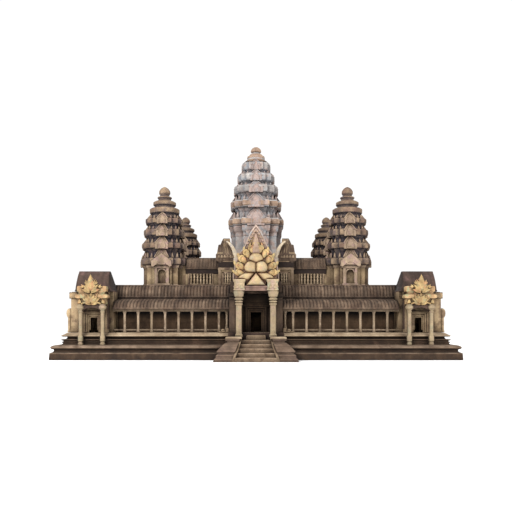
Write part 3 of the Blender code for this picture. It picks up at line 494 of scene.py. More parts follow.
front_run = together([
    colonnade(FRONT_LINE, front_x, 2.40, 12.849), lathe(TURNED, middle=(2.60, FRONT_LINE), radius=0.015),
])
side_run = colonnade(SIDE_LINE, side_x, 0.0, 11.399)
SIDEWAYS = [turned(angle) @ np.diag([x, 1.0, 1.0, 1.0]) for angle in (90, -90) for x in (-1.0, 1.0)]
colonnades = [f"{end}_{hand}_colonnade" for end in ("front", "rear") for hand in ("left", "right")]
colonnades += [f"{hand}_{end}_colonnade" for end in ("front", "rear") for hand in ("left", "right")]
colonnade_shape = together([placed(front_run, QUARTERS), placed(side_run, SIDEWAYS)])
piece("colonnade_pillars", colonnade_shape, pillar_finish, colonnades)


# The core and the walls: plain sandstone behind the galleries and the porches, laid dry in large
# blocks. The solids already have their doors and rooms, so they only take the finish here, with
# painted shade high under the gallery roofs and through the porches.

# Painted shade: the core's wall darkens from 3.4 m to black at 4.1 m and clears from 5.2 to 5.6 m, under the gallery
# roofs.
wall_finish = stone("wall_finish", (96, 76, 58), (122, 98, 76), (84, 66, 52), courses=0.46, patch=0.5, shade_heights=(3.4, 4.1, 5.2, 5.6))
front_wall_finish = stone("front_wall_finish", (119, 98, 75), (157, 136, 106), (98, 79, 62), patch=0.8, streak=0.5)
# Painted shade: the porch stone is dark, and darkens further from 4.2 m to black at 6.6 m, clearing from 7.3 to 7.6 m,
# for the shade inside the porch.
porch_shade_finish = stone("porch_shade_finish", (76, 60, 48), (104, 84, 66), (84, 68, 56), patch=0.9, shade_heights=(4.2, 6.6, 7.3, 7.6))


def dress(names, finish):
    """Gives solids that are kept as they are a finish of their own."""
    for name in names:
        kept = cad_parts[name]
        kept.data.materials.clear()
        kept.data.materials.append(finish)


CORNERS = [f"{end}_{hand}" for end in ("front", "rear") for hand in ("left", "right")]
dress(["temple_core"], wall_finish)
dress(["front_porch", "rear_porch"], porch_shade_finish)
dress([f"{corner}_pavilion" for corner in CORNERS], front_wall_finish)


# The gallery roofs: corbelled sandstone vaults, a half vault over the pillars and a full one behind
# it, carved outside with rounded ribs like tiles, with a smooth eave course and a plain ridge.

RIB_PITCH, RIB_DEPTH = 0.302, 0.07


def arc(middle, radii, start, end, count):
    """Points on an ellipse: the middle plus each radius times the cosine or the sine of the angle."""
    angle = np.radians(np.linspace(start, end, count))
    return np.stack([middle[0] + radii[0] * np.cos(angle), middle[1] + radii[1] * np.sin(angle)], axis=-1)


def ribbed(parts, low, high, pitch, depth):
    """A vault along X whose marked points sink between ribs, by depth times a rounded wave of the distance.

    `parts` lists (outline points, weight); the points move inward along the outline's normal in the YZ plane.
    """
    outline = np.concatenate([np.asarray(points, float) for points, _ in parts])
    weight = np.concatenate([np.full(len(points), value) for points, value in parts])
    along = np.roll(outline, -1, axis=0) - np.roll(outline, 1, axis=0)
    area = (outline[:, 0] * np.roll(outline[:, 1], -1) - np.roll(outline[:, 0], -1) * outline[:, 1]).sum()
    inward = np.stack([-along[:, 1], along[:, 0]], axis=-1) * np.sign(area)
    inward /= np.linalg.norm(inward, axis=1, keepdims=True)
    ribs = round((high - low) / pitch)
    x = np.linspace(low, high, ribs * 6 + 1)
    wave = 1 - np.abs(np.sin(np.linspace(0, ribs * math.pi, len(x)))) ** 0.6
    sunk = outline[None] + inward[None] * (weight[None] * wave[:, None] * depth)[..., None]
    return ring_loft(np.concatenate([np.broadcast_to(x[:, None, None], sunk.shape[:2] + (1,)), sunk], axis=-1))


def gallery_roof(wall, low, high, step_back):
    """Eave, half vault, neck, main vault and ridge, drawn outward from the core's wall."""
    parts = [
        (((2.33, 4.4503), (2.36, 4.53), (2.33, 4.60)), 0.0),
        (arc((0.28, 4.60), (2.03, 0.80), 3, 84, 18), 1.0),
        (((0.34, 5.44), (0.22, 5.47), (0.19, 5.50), (0.22, 5.53), (0.29, 5.56), (0.29, 5.64), (0.18, 5.67)), 0.0),
        (arc((-0.62, 5.66), (0.78, 1.02), 3, 80, 16), 1.0),
        (((-0.50, 6.70), (-0.54, 6.78), (-0.78, 6.78), (-0.80, 6.68), (-1.10, 6.60), (-step_back, 6.40)), 0.0),
        (((-step_back, 5.4003), (0.0003, 5.4003)), 0.0),
        (arc((0.0, 4.35), (1.62, 0.62), 90, 12, 8), 0.0),
        (((1.62, 4.4503),), 0.0),
    ]
    return ribbed([(np.asarray(points) + (wall, 0.0), weight) for points, weight in parts], low, high, RIB_PITCH, RIB_DEPTH)


BROWNS = (78, 60, 48), (122, 102, 84), (98, 78, 62)
roof_finish = stone("roof_finish", *BROWNS, patch=0.9, grain=9.0, hollow=2.2, ribs=(3.3, 0.3, 0.3))
side_roof_finish = stone("side_roof_finish", *BROWNS, patch=1.0, grain=9.0, hollow=2.0, ribs=(0.3, 3.3, 0.3))
end_parts = [
    (((0.18, 5.60), (0.18, 5.67)), 0.0), (arc((-0.62, 5.66), (0.78, 1.02), 3, 80, 16), 1.0),
    (((-0.50, 6.70), (-0.54, 6.78), (-0.78, 6.78), (-0.80, 6.68), (-1.10, 6.60), (-1.38, 6.40), (-1.38, 5.60)), 0.0),
]
vault_end = ribbed([(np.asarray(points) + (12.75, 0.0), weight) for points, weight in end_parts], 12.78, 13.38, RIB_PITCH, RIB_DEPTH)
front_roofs = placed(together([gallery_roof(12.75, 2.40, 12.7997, 1.3997), vault_end]), QUARTERS)
piece("gallery_roof_ribs", front_roofs, roof_finish, [f"{corner}_gallery_roof" for corner in CORNERS])
side_roofs = placed(gallery_roof(14.20, -11.3997, 11.3997, 1.3997), [turned(90), turned(-90)])
side_names = ["left_gallery_roof", "right_gallery_roof"]
piece("side_gallery_roof_ribs", side_roofs, side_roof_finish, side_names)


# The corner pavilions: a square room with doors to the front and the side under a bowed roof. The
# walls carry pilasters, nested door frames and mouldings, all worked in the same fine sandstone.

PAVILION = (14.45, 13.0)
ROOF_LEVELS = (
    (6.0403, -1.60, 1.74, -1.60, 2.10), (6.14, -1.60, 1.75, -1.52, 2.10), (6.18, -1.54, 1.72, -1.45, 2.03),
    (6.50, -1.36, 1.70, -1.05, 1.95), (6.90, -1.24, 1.69, -0.62, 1.76), (7.30, -1.18, 1.69, -0.28, 1.48),
    (7.62, -1.13, 1.70, 0.0, 1.18), (7.80, -1.10, 1.70, 0.20, 0.94), (7.83, -1.11, 1.73, 0.22, 0.92),
    (7.94, -1.08, 1.72, 0.40, 0.74),
)
SMALL_COLUMN = (
    (1.3003, 0.22), (1.44, 0.22), (1.50, 0.17), (1.58, 0.165), (1.64, 0.215), (2.06, 0.215), (2.12, 0.165), (2.18, 0.150),
    (4.14, 0.150), (4.18, 0.19), (4.25, 0.19), (4.29, 0.155), (4.34, 0.16), (4.46, 0.24), (4.52, 0.31), (4.70, 0.32),
    (4.74, 0.25), (4.86, 0.25),
)
DOOR_FRAMES = ((0.31, 0.10, 3.72, 0.05), (0.43, 0.12, 3.86, 0.11), (0.57, 0.13, 4.02, 0.17))


def rounded_corners(low_u, high_u, low_v, high_v, radius, steps=4):
    """The points of a rectangle whose corners are quarter circles, anticlockwise from the lowest corner."""
    angle = np.radians(np.linspace(0, 90, steps))[None] + np.radians([180, 270, 0, 90])[:, None]
    middle_u = np.array([low_u + radius, high_u - radius, high_u - radius, low_u + radius])
    middle_v = np.array([low_v + radius, low_v + radius, high_v - radius, high_v - radius])
    u = middle_u[:, None] + radius * np.cos(angle)
    v = middle_v[:, None] + radius * np.sin(angle)
    return np.stack([u.ravel(), v.ravel()], axis=-1)


def levels_loft(levels, radius=0.05, soften=0.03):
    """Solid through rectangles with rounded corners, given as height, lowest and highest U, lowest and highest V."""
    rings = []
    for z, *sides in rounded(levels, soften):
        plan = rounded_corners(*sides, min(radius, 0.3 * (sides[1] - sides[0]), 0.3 * (sides[3] - sides[2])))
        rings.append(np.insert(plan, 2, z, axis=1))
    return ring_loft(np.stack(rings))


def nested_frames(frames, face, floor):
    """Door frames one round another, each (inner half width, thickness, inner top, how far it stands out)."""
    spans = []
    for half, width, top, out in frames:
        outer = half + width
        spans += [
            (-outer, -half, face - 0.3, face + out, floor, top + width),
            (half, outer, face - 0.3, face + out, floor, top + width),
            (-half - 0.01, half + 0.01, face - 0.3, face + out, top, top + width),
        ]
    return rows(*spans)


def bands(levels):
    """The pavilion's ring of masonry at given heights, as (height, outward offset) round its cross-shaped plan."""
    rings = []
    for z, out in levels:
        edge, wing, reach = 1.60 + out, 1.25 + out, 2.10 + out
        plan = [
            (-1.599, -1.599), (edge, -1.599), (edge, -wing), (reach, -wing), (reach, wing), (edge, wing),
            (edge, edge), (wing, edge), (wing, reach), (-wing, reach), (-wing, edge), (-1.599, edge),
        ]
        rings.append([(u, v, z) for u, v in plan])
    return ring_loft(np.array(rings, float))


def crossed(shape):
    """A shape and its copy turned about the diagonal, so that one facing the front also faces the side."""
    swap = np.eye(4)[[1, 0, 2, 3]]
    return placed(shape, [np.eye(4), swap])


def tube(line, radius, count=10, flat=1.0):
    """A round bar along a line in the XZ plane: circles stand square to the line and shrink to its ends' size."""
    line = np.asarray(line, float)
    radius = np.broadcast_to(np.asarray(radius, float), len(line))
    direction = np.gradient(line, axis=0)
    direction /= np.linalg.norm(direction, axis=1, keepdims=True)
    angle = np.arange(count) * 2 * math.pi / count
    across = np.stack([-direction[:, 2], np.zeros(len(line)), direction[:, 0]], axis=-1)
    rings = line[:, None] + radius[:, None, None] * (
        np.cos(angle)[None, :, None] * across[:, None]
        + flat * np.sin(angle)[None, :, None] * np.array([0.0, 1.0, 0.0])
    )
    return ring_loft(rings)


def both_hands(shape):
    """A shape and its mirror image across X = 0."""
    return placed(shape, [np.eye(4), np.diag([-1.0, 1.0, 1.0, 1.0])])


def moved(shape, x=0.0, y=0.0, z=0.0, size=(1.0, 1.0, 1.0)):
    return placed(shape, [turned(move=(x, y, z), size=size)])


at_pavilion = [quarter @ turned(move=(*PAVILION, 0.0)) for quarter in QUARTERS]
pavilion_roof = levels_loft(ROOF_LEVELS, 0.10)
pavilion_roof_finish = stone(
    "pavilion_roof_finish", (64, 48, 40), (84, 66, 57), (95, 72, 66), patch=0.8, ribs=(2.4, 0.3, 0.3)
)
# Painted shade: a thin near-black skin over the inner end of each pavilion roof.
inner_end_shade = levels_loft([(z, low - 0.012, low + 0.10, back + 0.02, front - 0.06) for z, low, _, back, front in ROOF_LEVELS[2:]], 0.03)
# A near-black finish that paints shade, here and in the bands under the upper eaves.
painted_shade_finish = stone("painted_shade_finish", (34, 24, 20), (48, 36, 30), patch=0.8, depth=0.2)
piece("pavilion_roof_end_shade", placed(inner_end_shade, at_pavilion), painted_shade_finish)
pavilion_roofs = [f"{corner}_pavilion_roof" for corner in CORNERS]
piece("pavilion_roofs", placed(pavilion_roof, at_pavilion), pavilion_roof_finish, pavilion_roofs)
pilasters = rows(
    (-1.20, -0.98, 1.9, 2.16, 2.38, 4.80), (0.98, 1.20, 1.9, 2.16, 2.38, 4.80),
    (-0.92, -0.76, 1.9, 2.22, 2.38, 4.10), (0.76, 0.92, 1.9, 2.22, 2.38, 4.10),
    (-1.26, 1.26, 1.9, 2.19, 4.78, 4.98), (-0.98, 0.98, 1.9, 2.24, 4.10, 4.26),
)
pilaster_finish = stone("pilaster_finish", (148, 124, 94), (178, 154, 120), (124, 102, 80), patch=0.8, depth=0.18, streak=0.4)
ROUND_PILASTER = (
    (2.3703, 0.24), (2.52, 0.24), (2.56, 0.20), (3.70, 0.20), (3.76, 0.25), (3.90, 0.31), (4.10, 0.34), (4.34, 0.31),
    (4.50, 0.20), (4.56, 0.03),
)
nose = np.radians(np.linspace(0, 88, 9))
cap_line = np.concatenate([[1.70], 2.16 + 0.28 * np.sin(nose)])
cap = tube([(u, 0.0, 5.71) for u in cap_line], np.concatenate([[0.28], 0.28 * np.cos(nose)]), 16)
wing_side = together([
    moved(cap, y=1.32),
    moved(cap, y=-1.20),
    *[moved(lathe(ROUND_PILASTER, 18, 0.02), 2.46, v) for v in (0.98, -0.98)],
    rows(
        (1.66, 2.28, 0.66, 1.32, 2.3703, 5.44), (1.62, 2.32, 0.62, 1.36, 2.3703, 2.62),
        (1.66, 2.28, -1.25, -0.66, 2.3703, 5.44), (1.62, 2.32, -1.29, -0.62, 2.3703, 2.62),
    ),
])
piece("pavilion_wing_pilasters", placed(wing_side, at_pavilion), pilaster_finish)
joined = together([
    crossed(together([nested_frames(DOOR_FRAMES, 2.07, 2.371), pilasters])),
    bands([(5.46, -0.2), (5.46, 0.02), (5.52, 0.05), (5.60, 0.05), (5.66, 0.02), (5.66, -0.2)]),
    bands([(5.80, -0.2), (5.80, 0.05), (5.84, 0.08), (5.94, 0.10), (6.03, 0.10), (6.038, -0.2)]),
    crossed(both_hands(rows((0.60, 1.30, 1.9, 2.17, 2.372, 2.50), (0.60, 1.28, 1.9, 2.15, 2.50, 2.68)))),
])
piece("pavilion_carving", placed(joined, at_pavilion), front_wall_finish)


# The pavilion porches: two columns from the lower terrace carry a lintel and a flame pediment, each
# carved from a few blocks. The flames still hold much of their gilding.

BORDER_RINGS = ((1.0, 0.0), (1.0, 0.55), (0.95, 0.85), (0.88, 0.90), (0.80, 0.72), (0.72, 0.55), (0.60, 0.62),
                (0.42, 0.90), (0.22, 1.05), (0.06, 1.08))
SMOOTH_RINGS = ((1.0, 0.0), (0.985, 0.30), (0.93, 0.56), (0.82, 0.77), (0.64, 0.91), (0.40, 0.98), (0.12, 1.0))


def ogive(width, height, count=15, belly=0.22, power=1.9):
    """Half-leaf widths from base to tip: one minus a power of the height, swollen by a sine and mirrored."""
    rise = np.linspace(0.0, 1.0, count)
    half = width / 2 * (1 - rise**power) * (1 + belly * np.sin(rise * math.pi))
    right = np.stack([half, rise * height], axis=-1)[:-1]
    left = right[::-1] * (-1, 1)
    return np.concatenate([right, [(0.0, height)], left])


def leaf(width, height, depth, rings=SMOOTH_RINGS, low=0.32, **shape):
    """A pointed leaf that faces +Y: its ogive outline shrinks toward a point above its base as it bulges out."""
    outline = ogive(width, height, **shape)
    middle = np.array([0.0, low * height])
    stack = []
    for scale, out in rings:
        plan = middle + (outline - middle) * scale
        stack.append(np.stack([plan[:, 0], np.full(len(plan), out * depth), plan[:, 1]], axis=-1))
    return ring_loft(np.stack(stack))


def along(shape, outline, face, size=1.0, count=9, lift=0.4, start=0.0, end=1.0):
    """Copies of an upright shape along a line in the XZ plane that runs up a right-hand edge.

    Each copy's upward axis lies between the line's outward normal and straight up, by the share `lift`.
    """
    outline = np.asarray(outline, float)
    length = np.concatenate([[0.0], np.cumsum(np.linalg.norm(np.diff(outline, axis=0), axis=1))])
    stops = np.linspace(start, end, count) * length[-1]

    def point(at):
        return np.stack([np.interp(at, length, outline[:, 0]), np.interp(at, length, outline[:, 1])])

    direction = point(stops + 0.03) - point(stops - 0.03)
    direction /= np.linalg.norm(direction, axis=0)
    up = np.stack([direction[1], -direction[0]]) * (1 - lift) + np.array([[0.0], [lift]])
    up *= size / np.linalg.norm(up, axis=0)
    matrices = np.tile(np.eye(4), (count, 1, 1))
    matrices[:, 0, 0], matrices[:, 2, 0] = up[1], -up[0]
    matrices[:, 0, 2], matrices[:, 2, 2] = up[0], up[1]
    matrices[:, 1, 1] = size
    matrices[:, 0, 3], matrices[:, 2, 3] = point(stops)
    matrices[:, 1, 3] = face
    return placed(shape, matrices)


def fan(shape, place, spread):
    """Copies of a leaf from one point, given as (angle from upright, size): each leans about the Y axis."""
    angles, sizes = np.radians([angle for angle, _ in spread]), np.array([size for _, size in spread])
    matrices = np.tile(np.eye(4), (len(spread), 1, 1))
    matrices[:, 0, 0] = matrices[:, 2, 2] = sizes * np.cos(angles)
    matrices[:, 0, 2], matrices[:, 2, 0] = sizes * np.sin(angles), -sizes * np.sin(angles)
    matrices[:, 1, 1] = np.sqrt(sizes)
    matrices[:, :3, 3] = place
    return placed(shape, matrices)


def plate(half, back, front, edge=0.03):
    """An upright slab with a bevelled front, from the right half of its outline, given upwards."""
    half = np.asarray(half, float)
    outline = np.concatenate([half, half[-2::-1] * (-1, 1)])
    middle = np.array([0.0, outline[:, 1].mean()])
    shrink = 1 - edge / np.abs(outline - middle).max()
    stack = [(back, 1.0), (front - edge, 1.0), (front, shrink)]
    rings = [np.insert(middle + (outline - middle) * scale, 1, y, axis=1) for y, scale in stack]
    return ring_loft(np.stack(rings))


gold_finish = stone(
    "gold_finish", (140, 112, 72), (192, 164, 112), (176, 128, 92), (150, 136, 100), patch=1.8, grain=12.0, depth=0.3,
    rough=0.6, hollow=2.6, shadow=(84, 54, 38), reach=0.5,
)
tan_finish = stone(
    "tan_finish", (150, 118, 84), (184, 152, 112), (150, 148, 112), patch=1.6, depth=0.2, shadow=(60, 44, 34), reach=0.5
)
LOWER_BAR = ((5.40, 1.30), (5.44, 1.40), (5.52, 1.44), (5.62, 1.44), (5.70, 1.40), (5.74, 1.34))
UPPER_BAR = ((5.96, 1.20), (6.00, 1.27), (6.12, 1.30), (6.36, 1.30), (6.44, 1.27), (6.48, 1.18))
NECKS = ((4.88, 5.42, 1.22), (5.70, 6.0, 1.14))
bars = together(
    [levels_loft([(z, -u, u, 2.16, 3.06) for z, u in LOWER_BAR], 0.08, 0.02)]
    + [levels_loft([(z, -u, u, 2.16, 2.95) for z, u in UPPER_BAR], 0.08, 0.02)]
    + [rows((-u, u, 2.16, 2.92, low, high)) for low, high, u in NECKS]
)
flame_leaf = leaf(0.36, 0.86, 0.12, belly=0.5)
tall_leaf = leaf(0.42, 1.0, 0.14, belly=0.4)
flame = together([
    plate(((0.62, 4.95), (0.80, 5.10), (0.74, 5.60), (0.56, 5.95), (0.50, 6.40), (0.34, 6.80), (0.0, 7.30)), 2.80, 2.98, 0.05),
    fan(tall_leaf, (0.06, 3.00, 6.02), ((0, 1.50), (-22, 1.16), (24, 1.12), (-50, 0.98), (52, 0.94), (-80, 0.90), (80, 0.88))),
    fan(tall_leaf, (0.06, 3.05, 6.06), ((0, 1.06), (-38, 0.80), (40, 0.78), (-68, 0.72), (68, 0.70))),
    fan(tall_leaf, (0.04, 3.10, 6.10), ((0, 0.66),)),
    fan(flame_leaf, (0.0, 3.02, 4.98), ((-86, 0.90), (86, 0.90), (-62, 1.10), (62, 1.08), (-38, 1.14), (38, 1.12), (0, 1.14))),
    fan(flame_leaf, (0.0, 3.09, 5.02), ((-50, 0.90), (50, 0.90), (-24, 0.98), (24, 0.98), (0, 0.80))),
    both_hands(fan(flame_leaf, (0.36, 3.04, 6.62), ((18, 0.46), (48, 0.40)))),
    both_hands(fan(flame_leaf, (0.66, 3.02, 6.36), ((40, 0.42), (75, 0.40)))),
])
lip = [(x, 3.08, 4.96 + 0.16 * math.cos(x * math.pi / 1.5)) for x in np.linspace(-0.86, 0.86, 15)]
ends = [(1.02, 2.98, 4.92), (-1.02, 2.98, 4.92)]
porch_crest = together([flame, *[moved(leaf(0.30, 0.44, 0.10), *place) for place in ends]])
at_porch = np.array(at_pavilion)
porch_names = [f"{corner}_pavilion_porch" for corner in CORNERS]
piece("pavilion_lintels", placed(bars, at_porch), tan_finish, porch_names)
piece("pavilion_flames", placed(together([porch_crest, tube(lip, 0.07)]), at_porch), gold_finish)
column = lathe(SMALL_COLUMN, 24, 0.015, power=3.4)
arch_line = [(-0.99, 4.88), (-0.99, 4.24), (-0.80, 4.30), (-0.66, 4.44), (-0.36, 4.56), (0.0, 4.60)]
arch_line += [(-x, z) for x, z in arch_line[-2::-1]]
# Painted shade: a dark brown finish for the sheltered arch under each pavilion lintel and the strips beside its
# columns, and for the aprons beside the entrance thresholds.
umber_shade_finish = stone("umber_shade_finish", (62, 46, 38), (92, 72, 60), patch=1.2, depth=0.2)
sheltered = together([prism(arch_line, 2.50, 2.98, 1), rows((-1.262, -1.21, 1.62, 2.17, 2.70, 5.40), (-1.24, -1.21, 2.0, 2.172, 2.70, 4.78))])
piece("pavilion_arches", placed(sheltered, at_porch), umber_shade_finish)
small_columns = together([moved(column, -0.97, 2.88), moved(column, 0.97, 2.88)])
cream_finish = stone(
    "cream_finish", (130, 113, 89), (155, 137, 109), (143, 122, 104), (136, 126, 103), patch=1.2, depth=0.15, streak=0.5
)
piece("pavilion_columns", placed(small_columns, at_porch), cream_finish)


# The entrance columns: two tall square columns with rounded edges stand on the stair cheeks, with
# moulded bases, ring courses and flared capitals under the lintel.

PORCH_COLUMN = (
    (2.0303, 0.34), (2.09, 0.34), (2.11, 0.31), (2.17, 0.33), (2.24, 0.30), (2.28, 0.262), (2.34, 0.255),
    (4.80, 0.250), (4.83, 0.32), (4.93, 0.33), (4.97, 0.25), (5.03, 0.25), (5.06, 0.33), (5.15, 0.34),
    (5.19, 0.26), (5.25, 0.26), (5.28, 0.36), (5.38, 0.37), (5.42, 0.28), (5.48, 0.30), (5.56, 0.38), (5.90, 0.46),
    (5.98, 0.47), (6.01, 0.42), (6.07, 0.42),
)
LINTEL = ((6.05, 0.0), (6.09, 0.03), (6.16, 0.03), (6.19, 0.0), (6.30, 0.0), (6.33, 0.04), (6.48, 0.05))
tall_column = lathe(PORCH_COLUMN, 28, 0.012, power=5.0)
lintel_levels = [(z, -1.93 - out, 1.93 + out, 15.74 - out * 0.3, 16.36 + out) for z, out in LINTEL]
haunch_line = [(1.26, 5.0), *arc((0.86, 5.0), (0.40, 1.06), 4, 84, 9), (0.84, 6.07), (1.30, 6.07)]
haunch = both_hands(prism(haunch_line, 15.90, 16.18, 1))
beam = together([levels_loft(lintel_levels, 0.05, 0.015), haunch])
rose_finish = stone("rose_finish", (116, 92, 80), (140, 114, 100), (104, 84, 80), patch=1.2, depth=0.2)
piece("entrance_lintels", placed(beam, FRONT_AND_REAR), rose_finish)
entrance = both_hands(moved(tall_column, 1.50, 16.05))
column_names = ["front_porch_columns", "rear_porch_columns"]
piece("entrance_columns", placed(entrance, FRONT_AND_REAR), cream_finish, column_names)


# The lotus pediment: an upright slab over the lintel, carved as overlapping petals inside a border of
# rising flames, with the largest remains of the gilding on the whole building.

SHOULDER = (
    (6.072, 0.0), (6.12, 0.04), (6.20, 0.04), (6.25, -0.01), (6.52, -0.02), (6.74, -0.01), (6.84, 0.04), (6.98, 0.08),
    (7.05, 0.07), (7.06, 0.02),
)
LOTUS_EDGE = (
    (0.86, 6.50), (0.92, 7.04), (1.80, 7.10), (1.78, 7.50), (1.86, 8.05), (1.82, 8.40), (1.64, 8.65), (1.58, 9.10),
    (1.36, 9.46), (0.94, 9.76), (0.70, 10.06), (0.46, 10.50), (0.24, 10.94), (0.0, 11.28),
)
lotus_finish = stone(
    "lotus_finish", (150, 128, 94), (178, 156, 116), (168, 136, 109), (154, 140, 114), patch=1.2, grain=12.0, depth=0.10,
    rough=0.55, hollow=2.8, shadow=(120, 76, 52), reach=0.5, streak=0.4,
)
crest_finish = stone(
    "crest_finish", (140, 116, 98), (168, 144, 124), (158, 130, 120), (150, 128, 92), patch=1.6, depth=0.2, hollow=2.2,
    shadow=(120, 88, 72), reach=0.5,
)
shoulder_finish = stone(
    "shoulder_finish", (146, 126, 98), (174, 154, 122), (172, 146, 134), (150, 152, 128), patch=0.9, depth=0.12, reach=0.4
)


def cushion(corners, radius, depth, rings=SMOOTH_RINGS):
    """A bulging petal facing +Y: the rounded outline through the corners shrinks toward their mean as it rises."""
    corners = np.asarray(corners, float)
    middles = (corners + np.roll(corners, -1, axis=0)) / 2
    loop = np.stack([corners, middles], axis=1).reshape(-1, 2)
    outline = rounded(np.concatenate([loop[-1:], loop]), radius, 5)[1:-1]
    middle = corners.mean(axis=0)
    stack = [np.insert(middle + (outline - middle) * scale, 1, out * depth, axis=1) for scale, out in rings]
    return ring_loft(np.stack(stack))


LOWEST_PETAL = ((-0.84, 6.54), (0.84, 6.54), (0.0, 7.62))
SPREAD_PETAL = (
    (0.06, 7.60), (0.50, 7.68), (0.95, 7.62), (1.34, 7.44), (1.60, 7.20), (1.52, 7.08), (1.14, 7.04), (0.86, 6.94),
    (0.56, 7.02),
)
MIDDLE_PETAL = (
    (-0.02, 8.44), (0.16, 8.58), (0.42, 8.64), (0.72, 8.60), (0.94, 8.38), (1.06, 8.06), (0.96, 7.80), (0.78, 7.67),
    (0.38, 7.63), (-0.02, 7.66),
)
TOP_PETAL = (
    (-0.24, 9.35), (0.24, 9.35), (0.50, 9.16), (0.66, 8.90), (0.58, 8.70), (0.30, 8.56), (0.0, 8.44), (-0.30, 8.56),
    (-0.58, 8.70), (-0.66, 8.90), (-0.50, 9.16),
)
petals = together([
    moved(cushion(LOWEST_PETAL, 0.06, 0.34), y=16.30),
    both_hands(moved(cushion(SPREAD_PETAL, 0.2, 0.28), y=16.14)),
    both_hands(moved(cushion(MIDDLE_PETAL, 0.3, 0.40), y=16.18)),
    moved(cushion(TOP_PETAL, 0.3, 0.36), y=16.12),
])
curl_turn = np.linspace(0, 3.6, 18)
curl_x = 0.30 * np.sin(curl_turn) * (1 - curl_turn / 9)
curl_z = 0.30 - 0.30 * np.cos(curl_turn) * (1 - curl_turn / 14)
comma = tube(np.stack([curl_x, 0 * curl_x, curl_z], axis=-1), 0.13 * np.sin(np.linspace(0.6, 2.95, 18)), 10)
TONGUE = (
    (-0.10, 0.10), (0.06, -0.08), (0.46, -0.04), (0.82, 0.14), (1.04, 0.50), (1.02, 0.74), (0.84, 0.52), (0.60, 0.52),
    (0.40, 0.62), (0.14, 0.44),
)
TONGUES = (  # foot of each flame, its turn and its size
    (1.02, 7.50, 14, 0.94), (0.98, 7.92, -4, 1.0), (0.84, 8.42, -18, 1.0), (0.62, 8.90, -34, 0.92), (0.36, 9.32, -50, 0.80),
    (0.14, 9.72, -64, 0.66),
)
tongue = together([cushion(TONGUE, 0.2, 0.16), moved(comma, 0.46, 0.10, 0.02)])
flames = both_hands(together([fan(tongue, (x, 16.12, z), ((angle, size),)) for x, z, angle, size in TONGUES]))
crest = together([
    plate(LOTUS_EDGE, 15.94, 16.12, 0.06),
    fan(leaf(0.46, 1.0, 0.14, belly=0.3), (0.0, 16.10, 9.24), ((0, 1.6), (-13, 1.25), (13, 1.25), (-32, 1.0), (32, 1.0))),
    fan(leaf(0.34, 0.9, 0.12, belly=0.3), (0.0, 16.16, 9.90), ((0, 1.4), (-14, 0.8), (14, 0.8))),
    both_hands(along(leaf(0.22, 0.30, 0.10), LOTUS_EDGE[10:], 16.10, 0.9, 5, 0.5, 0.05, 0.9)),
])
blocks = levels_loft([(z, 0.98 - out, 1.92 + out, 15.72, 16.46 + out) for z, out in SHOULDER], 0.06, 0.012)
rosette = together([moved(leaf(0.30, 0.34, 0.06), x, 16.43, z - 0.16) for x in (1.24, 1.66) for z in (6.40,)])
lotus_names = ["front_pediment", "rear_pediment"]
piece("lotus_crests", placed(crest, FRONT_AND_REAR), crest_finish, lotus_names)
piece("lotus_petals", placed(petals, FRONT_AND_REAR), lotus_finish)
piece("lotus_flames", placed(flames, FRONT_AND_REAR), gold_finish)
piece("lotus_shoulders", placed(both_hands(together([blocks, rosette])), FRONT_AND_REAR), shoulder_finish)


# The porch behind the columns: nested door frames, pilasters, a pale threshold and the scrolls that
# close the terrace's top ledge. Its vault is ribbed like the galleries and ends in a tall ogive gable.

ENTRANCE_FRAMES = ((0.49, 0.13, 4.20, 0.05), (0.64, 0.13, 4.36, 0.12), (0.80, 0.16, 4.56, 0.20))
OGIVE_EDGE = (
    (2.12, 6.92), (2.07, 7.9), (1.87, 9.0), (1.55, 9.57), (1.17, 10.13), (0.83, 10.87), (0.59, 11.50), (0.28, 11.95),
    (0.0, 12.28),
)

door_carving = together([
    nested_frames(ENTRANCE_FRAMES, 13.45, 2.371),
    rows((-1.25, 1.25, 13.3, 13.62, 4.74, 4.92), (-1.10, 1.10, 13.3, 13.56, 4.92, 5.04)),
    both_hands(rows(
        (1.27, 1.60, 14.9, 15.12, 2.371, 5.60), (1.90, 2.38, 14.9, 15.10, 2.371, 5.30),
        (1.26, 2.39, 14.9, 15.16, 2.371, 2.66), (1.26, 2.39, 14.9, 15.14, 5.30, 5.50), (1.26, 2.39, 14.9, 15.18, 5.60, 5.86),
    )),
])
piece("entrance_door_frames", placed(door_carving, FRONT_AND_REAR), porch_shade_finish)
curl = [(0.20 * math.cos(a) * (1 - a / 14), 0.0, 0.17 + 0.17 * math.sin(a) * (1 - a / 14)) for a in np.linspace(3.6, 10.4, 36)]
scroll = together([
    moved(tube(curl, np.linspace(0.075, 0.05, 36)), 2.92, 15.20, 2.39),
    rows((2.42, 3.30, 15.10, 15.24, 2.372, 2.46), (2.45, 2.70, 15.08, 15.26, 2.40, 2.78)),
])
landing = rows((-0.83, 0.83, 15.30, 15.985, 1.9, 2.16), (-0.83, 0.83, 15.652, 15.975, 1.76, 1.93))
ledge_shape = together([landing, both_hands(scroll)])
piece("entrance_threshold", placed(ledge_shape, FRONT_AND_REAR), pale_finish)
